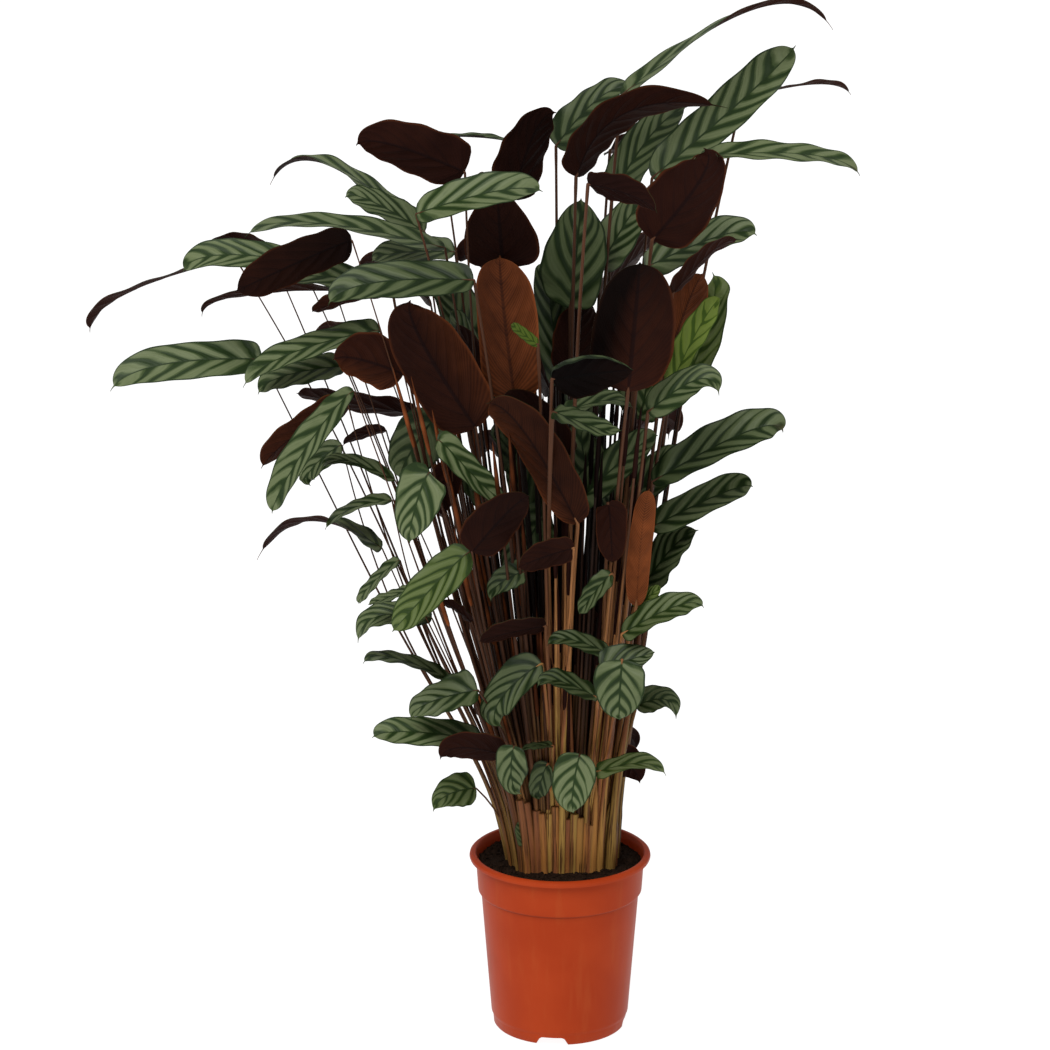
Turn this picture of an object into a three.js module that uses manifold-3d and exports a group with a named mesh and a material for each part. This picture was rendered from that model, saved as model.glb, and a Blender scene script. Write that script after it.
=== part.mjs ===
// A tall prayer plant (ctenanthe habit) in a round plastic nursery container.
// Millimetres, +Z up, origin on the container's axis at floor level, front towards -Y.
import * as THREE from 'three';
import { mergeVertices } from 'three/addons/utils/BufferGeometryUtils.js';
import Module from 'manifold-3d';

const wasm = await Module();
wasm.setup();

// ---- Driving sizes (mm) ----
// Container
const POT_HEIGHT = 212;
const POT_SIDES = 30;
const LIP = { radius: 105, inner: 97, round: 2.5, underside: 205, widest: 207.5 };
const BAND = { topRadius: 97.8, top: 205, bottomRadius: 95, bottom: 168 };
const TAPER = { topRadius: 91.4, top: 162, bottomRadius: 79.8, bottom: 17 };
const FOOT = { radius: 77.8, height: 13, ground: 72.4, chamfer: 4, chamferHeight: 2.4, inner: 68.4 };
const WALL = 2.4;
const FLOOR = { under: 10, thickness: 2.6, slope: 2 };
const HUB_RADIUS = 15;
const NOTCH = { count: 4, bottom: 38, top: 25, height: 10, turn: THREE.MathUtils.degToRad(-97) };
const DRAIN = { radius: 5, circle: 44, sides: 8 };

// Compost
const SOIL_LEVEL = 200;
const SOIL = { gap: 0.4, rise: 1, lump: 2.4, waves: 5, swells: 3, plateau: 79, edge: 86, rimDrop: 3 };
const PEG_DEPTH = 45;
const FIELD = { across: 0.002, lean: 9.2e-5, back: 0.004, backCurl: 4e-6, hold: 0.6, holdHeight: 160 };
const HOLE_CLEARANCE = 0.45;

// Stalks. The shoots stand on a staggered grid of feet in the compost. A shoot's stem has a broad sheath
// low down, and its leaves branch off at these shares of their own height.
const FEET = { columns: 10, rows: 5, left: -60, pitch: 13, front: -27, rowPitch: 12 };
const SHEATH = { radius: 5.3, topRadius: 5, height: 52, collar: 10, share: 0.7, collarShare: 0.85 };
const CANE = { low: 3.6, high: 2.6 };
const PETIOLE = { root: 1.2, middle: 2.0, end: 1.7 };
const BRANCH_AT = [0.4, 0.3, 0.36, 0.26, 0.2];
const BRANCH_SWING = 1.6;
const ROOTED = 0.04;
const SHORT_STALK = 130;
const JOINT = { bend: THREE.MathUtils.degToRad(80), handle: 0.1 };

// Blades
const BLADE_THICKNESS = 0.85;
const MIDDLE_REACH = 0.4;
const FOLD = 0.16;
const WAVE = { height: 0.1, left: 9, right: 8 };
const OUTLINE = { widest: 0.42, square: 2.7, full: 0.6, taper: 2.4, point: 0.85 };
const STATIONS = [0.1, 0.34, 0.62, 0.87];
const SHORT_BLADE = 95;
const SHORT_STATIONS = [0.14, 0.5, 0.84];
const LEVEL = { left: 0, right: 0 };

// The front elevation is drawn on a square grid of 1050 steps. It is seen from 5 m away and 2.1 m up,
// tilted down by 16.78 degrees. ACROSS runs to the right and DOWN runs down from the grid's corner.
const EYE = new THREE.Vector3(-40.6, -5000, 2114);
const TILT = THREE.MathUtils.degToRad(16.78);
const FOCAL = 4602;
const GRID_CENTRE = 525;
const PLACING_PASSES = 12;

const FOLIAGE = new THREE.MeshStandardMaterial({ color: 0x5d7350, roughness: 0.55, metalness: 0 });
const PLASTIC = new THREE.MeshStandardMaterial({ color: 0xb4532c, roughness: 0.45, metalness: 0 });
const COMPOST = new THREE.MeshStandardMaterial({ color: 0x2a1c15, roughness: 0.95, metalness: 0 });

// ---- Leaves, read off the front elevation ----
// across, down of the base; across, down halfway; across, down of the tip;
// layer of the foot (0 front row, 4 back row, minus in front); reach back from base to tip;
// width; face at base and tip in degrees (0 upper side to the front, 90 edge on, 180 underside).
const LEAVES = [
  // upper left fan
  [235, 258, 155, 281, 90, 333, 3.0, 10, 42, 78, 112],
  [300, 262, 240, 255, 183, 273, 2.1, 10, 45, 45, 50],
  [352, 240, 298, 262, 234, 292, 1.0, -15, 55, 140, 150],
  [445, 248, 350, 227, 245, 237, 1.4, 0, 46, 64, 70],
  [268, 247, 235, 243, 203, 262, 3.3, 10, 38, 112, 118],
  [335, 290, 262, 292, 202, 317, 1.8, 0, 38, 97, 104],
  [262, 359, 188, 361, 110, 392, 2.2, -30, 48, 28, 34],
  [420, 228, 352, 176, 270, 185, 3.0, 0, 45, 50, 100],
  [465, 172, 410, 150, 356, 146, 1.3, -20, 66, 150, 145],
  [440, 137, 478, 137, 517, 145, 3.0, 0, 28, 80, 85],
  [416, 214, 475, 196, 543, 192, 0.9, -30, 50, 42, 48],
  [425, 232, 385, 208, 345, 198, 2.3, 0, 46, 48, 52],
  [455, 252, 412, 252, 372, 262, 3.6, 0, 44, 50, 50],
  [474, 280, 400, 280, 328, 306, 0.3, -20, 52, 38, 44],
  [392, 285, 330, 277, 270, 286, 1.4, 0, 46, 52, 60],
  [392, 292, 350, 300, 312, 312, 1.2, 0, 40, 112, 112],
  // top
  [512, 200, 527, 150, 557, 113, 2.2, 0, 62, 150, 140],
  [503, 268, 500, 228, 497, 190, 1.2, 0, 84, 165, 160],
  [556, 146, 588, 108, 634, 92, 2.9, 0, 46, 30, 45],
  [576, 177, 604, 128, 728, 108, 1.4, -5, 60, 140, 120],
  [588, 184, 622, 192, 657, 213, 0, -35, 44, 125, 130],
  [652, 178, 722, 118, 796, 45, 2.6, 0, 52, 24, 26],
  [612, 196, 640, 150, 690, 106, 3.0, 0, 52, 30, 35],
  [652, 240, 690, 195, 703, 148, 0.4, -20, 80, 160, 155],
  [700, 156, 780, 153, 860, 176, 1.8, -10, 45, 66, 66],
  [742, 98, 795, 86, 851, 95, 3.0, 0, 34, 84, 100],
  [621, 96, 715, 27, 833, 30, 2.2, 0, 42, 55, 112],
  [645, 268, 700, 243, 757, 236, 1.2, -20, 50, 40, 45],
  [672, 294, 700, 262, 740, 240, 0.6, -20, 34, 112, 120],
  [570, 308, 576, 255, 581, 198, 2.25, 0, 74, 25, 30],
  [600, 268, 620, 232, 648, 196, 2.6, 0, 56, 35, 40],
  // right
  [628, 392, 634, 328, 640, 262, -0.6, -30, 92, 165, 165],
  [572, 372, 578, 335, 590, 300, 2.6, 0, 62, 150, 150],
  [515, 402, 506, 330, 500, 255, 0.6, -10, 70, 162, 158],
  [538, 345, 524, 335, 511, 324, 0.1, -10, 14, 30, 40],
  [668, 392, 690, 345, 722, 297, 0.6, -10, 36, 45, 40],
  [660, 388, 678, 330, 705, 272, 1.2, 0, 58, 148, 150],
  [684, 388, 705, 335, 712, 272, 2.4, 0, 52, 38, 42],
  [648, 412, 685, 385, 719, 396, -0.3, -20, 44, 38, 40],
  [552, 379, 590, 374, 634, 370, -1.2, -10, 64, 140, 150],
  [565, 412, 597, 402, 633, 409, 0.4, 10, 40, 62, 62],
  [553, 412, 585, 424, 622, 430, -1.05, -20, 42, 58, 58],
  [652, 482, 722, 443, 783, 433, 0.15, -10, 52, 42, 38],
  [618, 508, 650, 478, 684, 448, 1.6, 0, 46, 25, 28],
  [578, 502, 618, 464, 658, 436, 0.3, -10, 44, 28, 30],
  [650, 528, 702, 502, 753, 487, 0.9, -10, 44, 36, 40],
  [640, 592, 662, 560, 699, 530, 1.1, 0, 56, 40, 45],
  [622, 634, 662, 612, 704, 608, -1.4, -20, 40, 42, 48],
  [636, 606, 640, 550, 650, 488, -0.7, -15, 27, 165, 165],
  [634, 608, 648, 597, 661, 587, -0.4, -5, 22, 30, 35],
  // left middle
  [380, 330, 312, 346, 243, 388, 1.4, -10, 44, 50, 56],
  [345, 366, 300, 372, 258, 395, 1.75, 0, 42, 42, 46],
  [404, 374, 370, 362, 333, 360, 1.05, -15, 64, 155, 155],
  [476, 428, 435, 365, 411, 300, 0.5, -10, 82, 165, 160],
  [494, 402, 478, 365, 455, 322, 1.7, 0, 48, 125, 130],
  [490, 392, 470, 350, 450, 310, 2.5, 0, 46, 50, 50],
  [418, 414, 355, 404, 296, 393, 2.5, 0, 42, 118, 118],
  [348, 404, 305, 428, 261, 469, 1.5, -5, 44, 132, 132],
  [354, 391, 308, 445, 272, 514, 0.5, -20, 42, 48, 45],
  [342, 445, 318, 462, 311, 486, 1.7, -10, 32, 30, 40],
  [395, 480, 358, 464, 322, 468, 0.9, 0, 34, 66, 66],
  [386, 430, 365, 434, 343, 446, 2.3, 0, 26, 118, 118],
  [430, 472, 416, 505, 410, 543, 0.2, -20, 58, 18, 22],
  [437, 418, 415, 445, 400, 478, 1.65, 0, 62, 10, 14],
  [437, 440, 468, 470, 507, 500, -0.2, 0, 36, 35, 40],
  [462, 470, 478, 492, 488, 514, 2.6, 0, 38, 35, 40],
  [382, 548, 330, 523, 257, 560, 1.0, 0, 44, 55, 115],
  [392, 500, 360, 506, 325, 530, 0.6, 0, 30, 62, 70],
  [400, 560, 376, 580, 359, 604, 0.6, 0, 24, 55, 60],
  [412, 590, 390, 597, 368, 605, -0.85, 0, 26, 62, 70],
  [432, 618, 392, 614, 358, 644, -0.25, 0, 38, 42, 50],
  [470, 552, 432, 588, 392, 632, -0.9, -20, 52, 36, 36],
  [472, 622, 455, 608, 437, 608, 0.2, 0, 22, 115, 120],
  [452, 680, 408, 662, 363, 664, 0.1, -15, 32, 62, 66],
  [478, 690, 442, 698, 411, 720, -1.8, -5, 52, 36, 40],
  [482, 740, 428, 733, 372, 738, -1.6, -20, 40, 32, 40],
  [505, 755, 472, 748, 440, 760, -2.3, -20, 42, 135, 140],
  [476, 788, 455, 792, 433, 812, 0.6, -10, 42, 18, 24],
  // centre and low front
  [578, 524, 540, 455, 486, 404, -0.9, -30, 62, 150, 128],
  [472, 552, 498, 522, 530, 496, -1.4, -10, 58, 152, 150],
  [608, 503, 611, 532, 612, 563, -0.5, -5, 36, 165, 165],
  [452, 466, 446, 490, 440, 514, 0.9, 0, 36, 150, 150],
  [524, 572, 505, 580, 491, 602, -0.3, -10, 36, 30, 35],
  [546, 516, 526, 545, 506, 585, 1.6, 0, 52, 16, 20],
  [574, 548, 546, 556, 518, 568, -1.2, -10, 40, 142, 145],
  [612, 574, 595, 592, 579, 614, -1.1, 0, 30, 42, 44],
  [542, 664, 508, 690, 503, 728, -0.9, -15, 46, 28, 26],
  [514, 746, 511, 770, 522, 794, -3.0, -10, 38, 18, 20],
  [548, 764, 541, 782, 540, 799, -0.9, -5, 30, 28, 30],
  [580, 754, 574, 783, 574, 813, -1.4, -15, 50, 15, 18],
  [596, 772, 630, 764, 666, 776, -1.8, -15, 36, 55, 58],
  [614, 762, 627, 765, 640, 784, 1.3, 10, 44, 160, 165],
  [622, 660, 620, 690, 620, 720, -3.4, -15, 58, 15, 18],
  [600, 668, 628, 660, 655, 652, -2.15, 0, 42, 30, 34],
  [636, 706, 658, 699, 676, 720, 0.3, -10, 36, 32, 40],
  [598, 698, 568, 684, 537, 688, -2.2, -10, 36, 55, 55],
  [610, 654, 580, 642, 547, 646, -1.25, -10, 28, 46, 48],
  [546, 626, 512, 632, 479, 642, -1.2, -5, 38, 122, 122],
  [598, 618, 585, 624, 571, 632, 0.5, 0, 30, 145, 150],
  [523, 846, 521, 834, 517, 822, -0.9, -3, 13, 15, 15],
  [553, 746, 538, 746, 520, 753, -1.0, -5, 22, 66, 70],
  // inside the clump
  [560, 385, 552, 320, 548, 262, 2.7, 0, 50, 45, 45],
  [600, 500, 585, 460, 592, 420, 1.4, 5, 54, 20, 25],
  [520, 470, 510, 440, 530, 412, 2.6, 0, 50, 40, 40],
  [590, 420, 580, 380, 572, 340, 3.3, 0, 56, 30, 30],
  [640, 420, 648, 380, 654, 335, 3.0, 0, 56, 30, 30],
  [472, 345, 455, 305, 440, 262, 3.2, 0, 56, 35, 35],
  [548, 558, 530, 510, 508, 458, 2, -5, 46, 30, 35],
  [575, 475, 566, 430, 560, 380, 3.7, 0, 52, 150, 150],
  [560, 642, 552, 600, 545, 556, 2.75, 10, 46, 145, 145],
  [622, 562, 616, 520, 612, 472, 2.6, 0, 46, 35, 30],
  [568, 456, 541, 420, 500, 398, 0.2, 0, 40, 150, 150],
  // on the back, reaching away from the front
  [505, 232, 490, 204, 474, 184, 3.6, 120, 54, 125, 135],
  [610, 150, 640, 140, 668, 150, 3.6, 100, 52, 110, 110],
  [520, 300, 490, 270, 470, 262, 3.8, 130, 58, 120, 130],
  [600, 290, 630, 262, 650, 250, 4.1, 120, 56, 115, 125],
  [430, 300, 395, 275, 370, 280, 3.4, 110, 52, 110, 120],
  [380, 350, 345, 335, 325, 350, 3.2, 90, 48, 110, 110],
  [550, 390, 530, 350, 505, 345, 3.3, 140, 58, 125, 135],
  [470, 400, 440, 372, 420, 385, 3.7, 120, 54, 115, 120],
  [620, 440, 650, 420, 668, 440, 3.8, 110, 50, 115, 120],
  [520, 480, 500, 455, 480, 462, 4.1, 130, 54, 125, 130],
  [450, 520, 425, 505, 405, 522, 3.9, 100, 46, 110, 115],
  [550, 590, 530, 565, 512, 575, 4.2, 120, 50, 120, 130],
  [610, 620, 632, 600, 650, 618, 4.4, 90, 44, 110, 115],
  [565, 690, 580, 665, 596, 680, 4.3, 90, 44, 120, 125],
  [520, 720, 500, 705, 480, 722, 4.4, 80, 42, 115, 120],
  [600, 750, 618, 738, 630, 755, 4.4, 70, 38, 110, 115],
  [545, 780, 535, 765, 520, 780, 4.4, 60, 36, 120, 125],
];

// ---- Places ----

// The point on the plane y = depth that is seen at one place of the front grid.
function onGrid(across, down, depth) {
  const right = (across - GRID_CENTRE) / FOCAL;
  const up = (GRID_CENTRE - down) / FOCAL;
  const ahead = Math.cos(TILT) + up * Math.sin(TILT);
  const rise = -Math.sin(TILT) + up * Math.cos(TILT);
  const far = (depth - EYE.y) / ahead;
  return new THREE.Vector3(EYE.x + far * right, depth, EYE.z + far * rise);
}

// All stalks follow one field, so that none crosses another: they rise close together at first, then
// spread from the container's middle, and those left of it lean further the more they stand to the left.
const straight = (height) => Math.max(height, 0);
const held = (height) => straight(height) * (1 - FIELD.hold * Math.exp(-((height / FIELD.holdHeight) ** 2)));
const spreadAcross = (rise) => 1 + FIELD.across * rise;
const leanAcross = (rise) => -FIELD.lean * rise;
const spreadBack = (height) => 1 + FIELD.back * Math.max(height, 0) + FIELD.backCurl * height * height;

function onField(foot, height) {
  const lean = foot.x < 0 ? leanAcross(held(height)) * foot.x * foot.x : 0;
  const across = foot.x * spreadAcross(held(height)) + lean;
  return new THREE.Vector3(across, foot.y * spreadBack(height), SOIL_LEVEL + height);
}

// The foot of the stalk that reaches a point, where its sideways spread grows with height as given.
function footBelow(point, risen) {
  const height = point.z - SOIL_LEVEL;
  const spread = spreadAcross(risen(height));
  const lean = point.x < 0 ? leanAcross(risen(height)) : 0;
  const across = (2 * point.x) / (spread + Math.sqrt(spread * spread + 4 * lean * point.x));
  return new THREE.Vector2(across, point.y / spreadBack(height));
}

// ---- Solids ----

// A closed skin over rings with equal numbers of points. The first half of each ring is the upper side,
// and its diagonals are repeated on the lower side. A last ring of one point closes the skin to a tip.
function loft(rings) {
  const count = rings[0].length;
  const positions = [];
  const push = (a, b, c) => positions.push(...a.toArray(), ...b.toArray(), ...c.toArray());
  for (let k = 1; k < count - 1; k++) push(rings[0][0], rings[0][k + 1], rings[0][k]);
  for (let i = 1; i < rings.length; i++) {
    for (let j = 0; j < count; j++) {
      const next = (j + 1) % count;
      const [a, b] = [rings[i - 1][j], rings[i - 1][next]];
      if (rings[i].length === 1) {
        push(a, b, rings[i][0]);
      } else if (j < count / 2) {
        push(a, b, rings[i][next]);
        push(a, rings[i][next], rings[i][j]);
      } else {
        push(a, b, rings[i][j]);
        push(b, rings[i][next], rings[i][j]);
      }
    }
  }
  const last = rings[rings.length - 1];
  for (let k = 1; k < last.length - 1; k++) push(last[0], last[k], last[k + 1]);
  const geometry = new THREE.BufferGeometry();
  geometry.setAttribute('position', new THREE.Float32BufferAttribute(positions, 3));
  return geometry;
}

function signedVolume(vertices, triangles) {
  let sum = 0;
  const corner = (index) => new THREE.Vector3().fromArray(vertices, 3 * index);
  for (let t = 0; t < triangles.length; t += 3) {
    const [a, b, c] = [corner(triangles[t]), corner(triangles[t + 1]), corner(triangles[t + 2])];
    sum += a.dot(b.cross(c));
  }
  return sum;
}

function toSolid(geometry) {
  const bare = geometry.clone();
  bare.deleteAttribute('normal');
  bare.deleteAttribute('uv');
  const merged = mergeVertices(bare, 1e-4);
  const vertProperties = new Float32Array(merged.attributes.position.array);
  const triVerts = new Uint32Array(merged.index.array);
  if (signedVolume(vertProperties, triVerts) < 0) triVerts.reverse();
  return new wasm.Manifold(new wasm.Mesh({ numProp: 3, vertProperties, triVerts }));
}

function toMesh(name, solid, material) {
  const { vertProperties, triVerts } = solid.getMesh();
  const geometry = new THREE.BufferGeometry();
  geometry.setAttribute('position', new THREE.Float32BufferAttribute(vertProperties, 3));
  geometry.setIndex(new THREE.Uint32BufferAttribute(triVerts, 1));
  geometry.computeVertexNormals();
  const mesh = new THREE.Mesh(geometry, material);
  mesh.name = name;
  return mesh;
}

// Six points about one place of a leaf's length: left edge, middle, right edge on the upper side, then
// right edge, middle, left edge on the lower side. `lift` raises each edge for the fold and the waves.
function sixPoints(centre, sideways, normal, half, middleThick, edgeThick, lift) {
  const place = (out, up) => centre.clone().addScaledVector(sideways, out).addScaledVector(normal, up);
  const edge = edgeThick / 2;
  const middle = middleThick / 2;
  return [
    place(-half, lift.left + edge), place(0, middle), place(half, lift.right + edge),
    place(half, lift.right - edge), place(0, -middle), place(-half, lift.left - edge),
  ];
}

// Half width of a blade along its length, as a share of its greatest half width: a round base and a
// more pointed tip.
function outline(t) {
  const { widest, square, full, taper, point } = OUTLINE;
  if (t < widest) return (1 - (1 - t / widest) ** square) ** full;
  return (1 - ((t - widest) / (1 - widest)) ** taper) ** point;
}

// The midrib leaves its stalk's end in the stalk's own direction, turned by no more than the joint's
// bend towards the blade's middle, and passes the middle halfway.
function midribOf(leaf) {
  const { base, middle, tip, stalkEnd } = leaf;
  const chord = middle.clone().sub(base);
  const turn = stalkEnd.angleTo(chord);
  const axis = stalkEnd.clone().cross(chord).normalize();
  const start = stalkEnd.clone().applyAxisAngle(axis, Math.min(turn, JOINT.bend));
  const first = base.clone().addScaledVector(start, chord.length() * 2 * JOINT.handle);
  const second = middle.clone().multiplyScalar(8).sub(base).sub(tip).addScaledVector(first, -3);
  second.divideScalar(3);
  return new THREE.CubicBezierCurve3(base, first, second, tip);
}

// The rings of a leaf's blade: a thin folded and waved strip about its midrib, closed to its tip.
function bladeRings(leaf, midrib) {
  const { width, facing, phase, stations, tip } = leaf;
  const rings = stations.map((t) => {
    const along = midrib.getTangent(t);
    const centre = midrib.getPoint(t);
    const normal = facing(centre, along, t);
    const half = (width / 2) * outline(t);
    const wave = half * WAVE.height;
    const lift = {
      left: half * FOLD + wave * Math.sin(phase + WAVE.left * t),
      right: half * FOLD + wave * Math.cos(phase + WAVE.right * t),
    };
    const sideways = along.clone().cross(normal);
    return sixPoints(centre, sideways, normal, half, BLADE_THICKNESS, BLADE_THICKNESS, lift);
  });
  return [...rings, [tip.clone()]];
}

// The rings of a leaf's stalk. They are carried down from the blade's first ring without a twist, and
// the last ring halves the bend between stalk and blade.
function stalkRings(leaf, midrib, grow) {
  const { path, radii, facing, stations } = leaf;
  const directions = path.map((point, i) => {
    const before = path[Math.max(i - 1, 0)];
    const after = path[Math.min(i + 1, path.length - 1)];
    const along = after.clone().sub(before).normalize();
    return i === path.length - 1 ? along.add(midrib.getTangent(0)).normalize() : along;
  });
  let along = midrib.getTangent(stations[0]);
  const normal = facing(midrib.getPoint(stations[0]), along, stations[0]);
  const rings = [];
  for (let i = path.length - 1; i >= 0; i--) {
    normal.applyQuaternion(new THREE.Quaternion().setFromUnitVectors(along, directions[i]));
    along = directions[i];
    const radius = radii[i] + grow;
    const sideways = along.clone().cross(normal);
    const half = radius * Math.cos(Math.PI / 6);
    rings.unshift(sixPoints(path[i], sideways, normal, half, 2 * radius, radius, LEVEL));
  }
  return rings;
}

// One leaf with its stalk, in one skin.
function leafSolid(leaf) {
  const midrib = midribOf(leaf);
  return toSolid(loft([...stalkRings(leaf, midrib, 0), ...bladeRings(leaf, midrib)]));
}

// The blade's upper side is turned from the viewer's side towards up, by the leaf's face angle.
function facingAt(faceBase, faceTip) {
  return (centre, along, t) => {
    const face = THREE.MathUtils.degToRad(faceBase + (faceTip - faceBase) * t);
    const toEye = EYE.clone().sub(centre).normalize();
    const side = along.clone().cross(toEye).normalize();
    const ahead = side.clone().cross(along);
    const up = side.multiplyScalar(Math.sign(side.z) || 1);
    return ahead.multiplyScalar(Math.cos(face)).addScaledVector(up, Math.sin(face));
  };
}

function placedLeaf(row, index) {
  const [baseX, baseY, midX, midY, tipX, tipY, layer, reach, width, faceBase, faceTip] = row;
  const footBack = FEET.front + FEET.rowPitch * layer;
  let base = onGrid(baseX, baseY, 0);
  for (let pass = 0; pass < PLACING_PASSES; pass++) {
    base = onGrid(baseX, baseY, footBack * spreadBack(base.z - SOIL_LEVEL));
  }
  const tip = onGrid(tipX, tipY, base.y + reach);
  return {
    base,
    middle: onGrid(midX, midY, base.y + reach * MIDDLE_REACH),
    tip,
    width,
    stations: base.distanceTo(tip) > SHORT_BLADE ? STATIONS : SHORT_STATIONS,
    facing: facingAt(faceBase, faceTip),
    phase: index,
  };
}

const leaves = LEAVES.map(placedLeaf);

// ---- Shoots ----

// The staggered grid of feet, front row first.
const feet = [];
for (let row = 0; row < FEET.rows; row++) {
  for (let column = 0; column < FEET.columns; column++) {
    const stagger = (row % 2) * FEET.pitch * 0.5;
    const across = FEET.left + FEET.pitch * column + stagger;
    feet.push(new THREE.Vector2(across, FEET.front + FEET.rowPitch * row));
  }
}

// Each leaf grows on the shoot whose foot is nearest to the place a straight stalk would reach the soil.
const shoots = feet.map((foot) => ({ foot, leaves: [] }));
for (const leaf of leaves) {
  leaf.foot = footBelow(leaf.base, held);
  const straightFoot = footBelow(leaf.base, straight);
  const distance = (shoot) => shoot.foot.distanceTo(straightFoot);
  const home = shoots.reduce((best, shoot) => (distance(shoot) < distance(best) ? shoot : best));
  home.leaves.push(leaf);
}
const leafyShoots = shoots.filter((shoot) => shoot.leaves.length > 0);
for (const shoot of leafyShoots) {
  shoot.leaves.sort((one, other) => other.base.z - one.base.z);
  shoot.tallest = shoot.leaves[0];
  shoot.top = (shoot.tallest.base.z - SOIL_LEVEL) * BRANCH_AT[0];
  shoot.leaves.forEach((leaf, order) => {
    const share = BRANCH_AT[order % BRANCH_AT.length];
    leaf.branch = Math.min((leaf.base.z - SOIL_LEVEL) * share, shoot.top);
  });
}

// A leaf's stalk leaves its shoot's line at the branching height and bends away to the leaf's own base.
function petiolePath(shoot, leaf, shares) {
  const height = leaf.base.z - SOIL_LEVEL;
  return shares.map((share) => {
    const foot = shoot.foot.clone().lerp(leaf.foot, Math.max(share, 0) ** BRANCH_SWING);
    return onField(foot, leaf.branch + (height - leaf.branch) * share);
  });
}

// The tallest leaf's stalk is the shoot's stem: a broad sheath low down, then a thinner cane.
function stemPath(shoot) {
  const sheathTop = Math.min(SHEATH.height, shoot.top * SHEATH.share);
  const caneFoot = Math.min(sheathTop + SHEATH.collar, shoot.top * SHEATH.collarShare);
  return [-PEG_DEPTH, sheathTop, caneFoot].map((height) => onField(shoot.foot, height));
}

// A side stalk is rooted in the stem a little below its branching height, on the run between two rings.
function stalkRoot(shoot, leaf) {
  const height = leaf.base.z - SOIL_LEVEL;
  const rootZ = SOIL_LEVEL + leaf.branch - (height - leaf.branch) * ROOTED;
  const stem = shoot.tallest.path;
  const next = stem.findIndex((point) => point.z > rootZ);
  const share = (rootZ - stem[next - 1].z) / (stem[next].z - stem[next - 1].z);
  return stem[next - 1].clone().lerp(stem[next], share);
}

for (const shoot of leafyShoots) {
  for (const leaf of shoot.leaves) {
    if (leaf === shoot.tallest) {
      leaf.path = [...stemPath(shoot), ...petiolePath(shoot, leaf, [0, 0.5, 1])];
      leaf.radii = [SHEATH.radius, SHEATH.topRadius, CANE.low, CANE.high, PETIOLE.middle, PETIOLE.end];
    } else if (leaf.base.z - SOIL_LEVEL - leaf.branch > SHORT_STALK) {
      leaf.path = [stalkRoot(shoot, leaf), ...petiolePath(shoot, leaf, [0.5, 1])];
      leaf.radii = [PETIOLE.root, PETIOLE.middle, PETIOLE.end];
    } else {
      leaf.path = [stalkRoot(shoot, leaf), ...petiolePath(shoot, leaf, [1])];
      leaf.radii = [PETIOLE.root, PETIOLE.end];
    }
    const [before, end] = leaf.path.slice(-2);
    leaf.stalkEnd = end.clone().sub(before).normalize();
  }
}

function shootSolid(shoot) {
  return shoot.leaves.map(leafSolid).reduce((solid, next) => solid.add(next));
}

// ---- Container and compost ----

function radiusOn(cone, z) {
  const share = (z - cone.bottom) / (cone.top - cone.bottom);
  return THREE.MathUtils.lerp(cone.bottomRadius, cone.topRadius, share);
}

// The turned shape of a profile of [radius, height] points.
function turned(profile) {
  const points = profile.map(([radius, z]) => new THREE.Vector2(radius, z));
  return new THREE.LatheGeometry(points, POT_SIDES).rotateX(Math.PI / 2);
}

function potSolid() {
  const floorTop = FLOOR.under + FLOOR.thickness;
  const outside = [
    [0, 0], [HUB_RADIUS, 0], [HUB_RADIUS + FLOOR.slope, FLOOR.under], [FOOT.inner - FLOOR.slope, FLOOR.under],
    [FOOT.inner, 0], [FOOT.ground, 0], [FOOT.ground + FOOT.chamfer, FOOT.chamferHeight],
    [FOOT.radius, FOOT.height], [TAPER.bottomRadius, TAPER.bottom], [TAPER.topRadius, TAPER.top],
    [BAND.bottomRadius, BAND.bottom], [BAND.topRadius, BAND.top], [LIP.radius - LIP.round, LIP.underside],
    [LIP.radius, LIP.widest], [LIP.radius - LIP.round, POT_HEIGHT],
  ];
  const inside = [
    [LIP.inner, POT_HEIGHT], [BAND.topRadius - WALL, BAND.top - WALL],
    [BAND.bottomRadius - WALL, BAND.bottom], [TAPER.topRadius - WALL, TAPER.top],
    [FOOT.radius - WALL, TAPER.bottom], [FOOT.ground, floorTop], [0, floorTop],
  ];
  let solid = toSolid(turned([...outside, ...inside]));
  const arch = new THREE.Shape([
    new THREE.Vector2(-NOTCH.bottom / 2, -1), new THREE.Vector2(NOTCH.bottom / 2, -1),
    new THREE.Vector2(NOTCH.top / 2, NOTCH.height), new THREE.Vector2(-NOTCH.top / 2, NOTCH.height),
  ]);
  const cutDepth = FOOT.radius - FOOT.inner + 2 * FLOOR.slope;
  for (let k = 0; k < NOTCH.count; k++) {
    const turn = NOTCH.turn + (2 * Math.PI * k) / NOTCH.count;
    const notch = new THREE.ExtrudeGeometry(arch, { depth: cutDepth, bevelEnabled: false })
      .rotateX(Math.PI / 2).translate(0, FOOT.radius + FLOOR.slope, 0).rotateZ(turn - Math.PI / 2);
    solid = solid.subtract(toSolid(notch));
    const drain = new THREE.CylinderGeometry(DRAIN.radius, DRAIN.radius, 4 * FLOOR.thickness, DRAIN.sides)
      .rotateX(Math.PI / 2).translate(DRAIN.circle, 0, floorTop).rotateZ(turn + Math.PI / NOTCH.count);
    solid = solid.subtract(toSolid(drain));
  }
  return solid;
}

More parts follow.
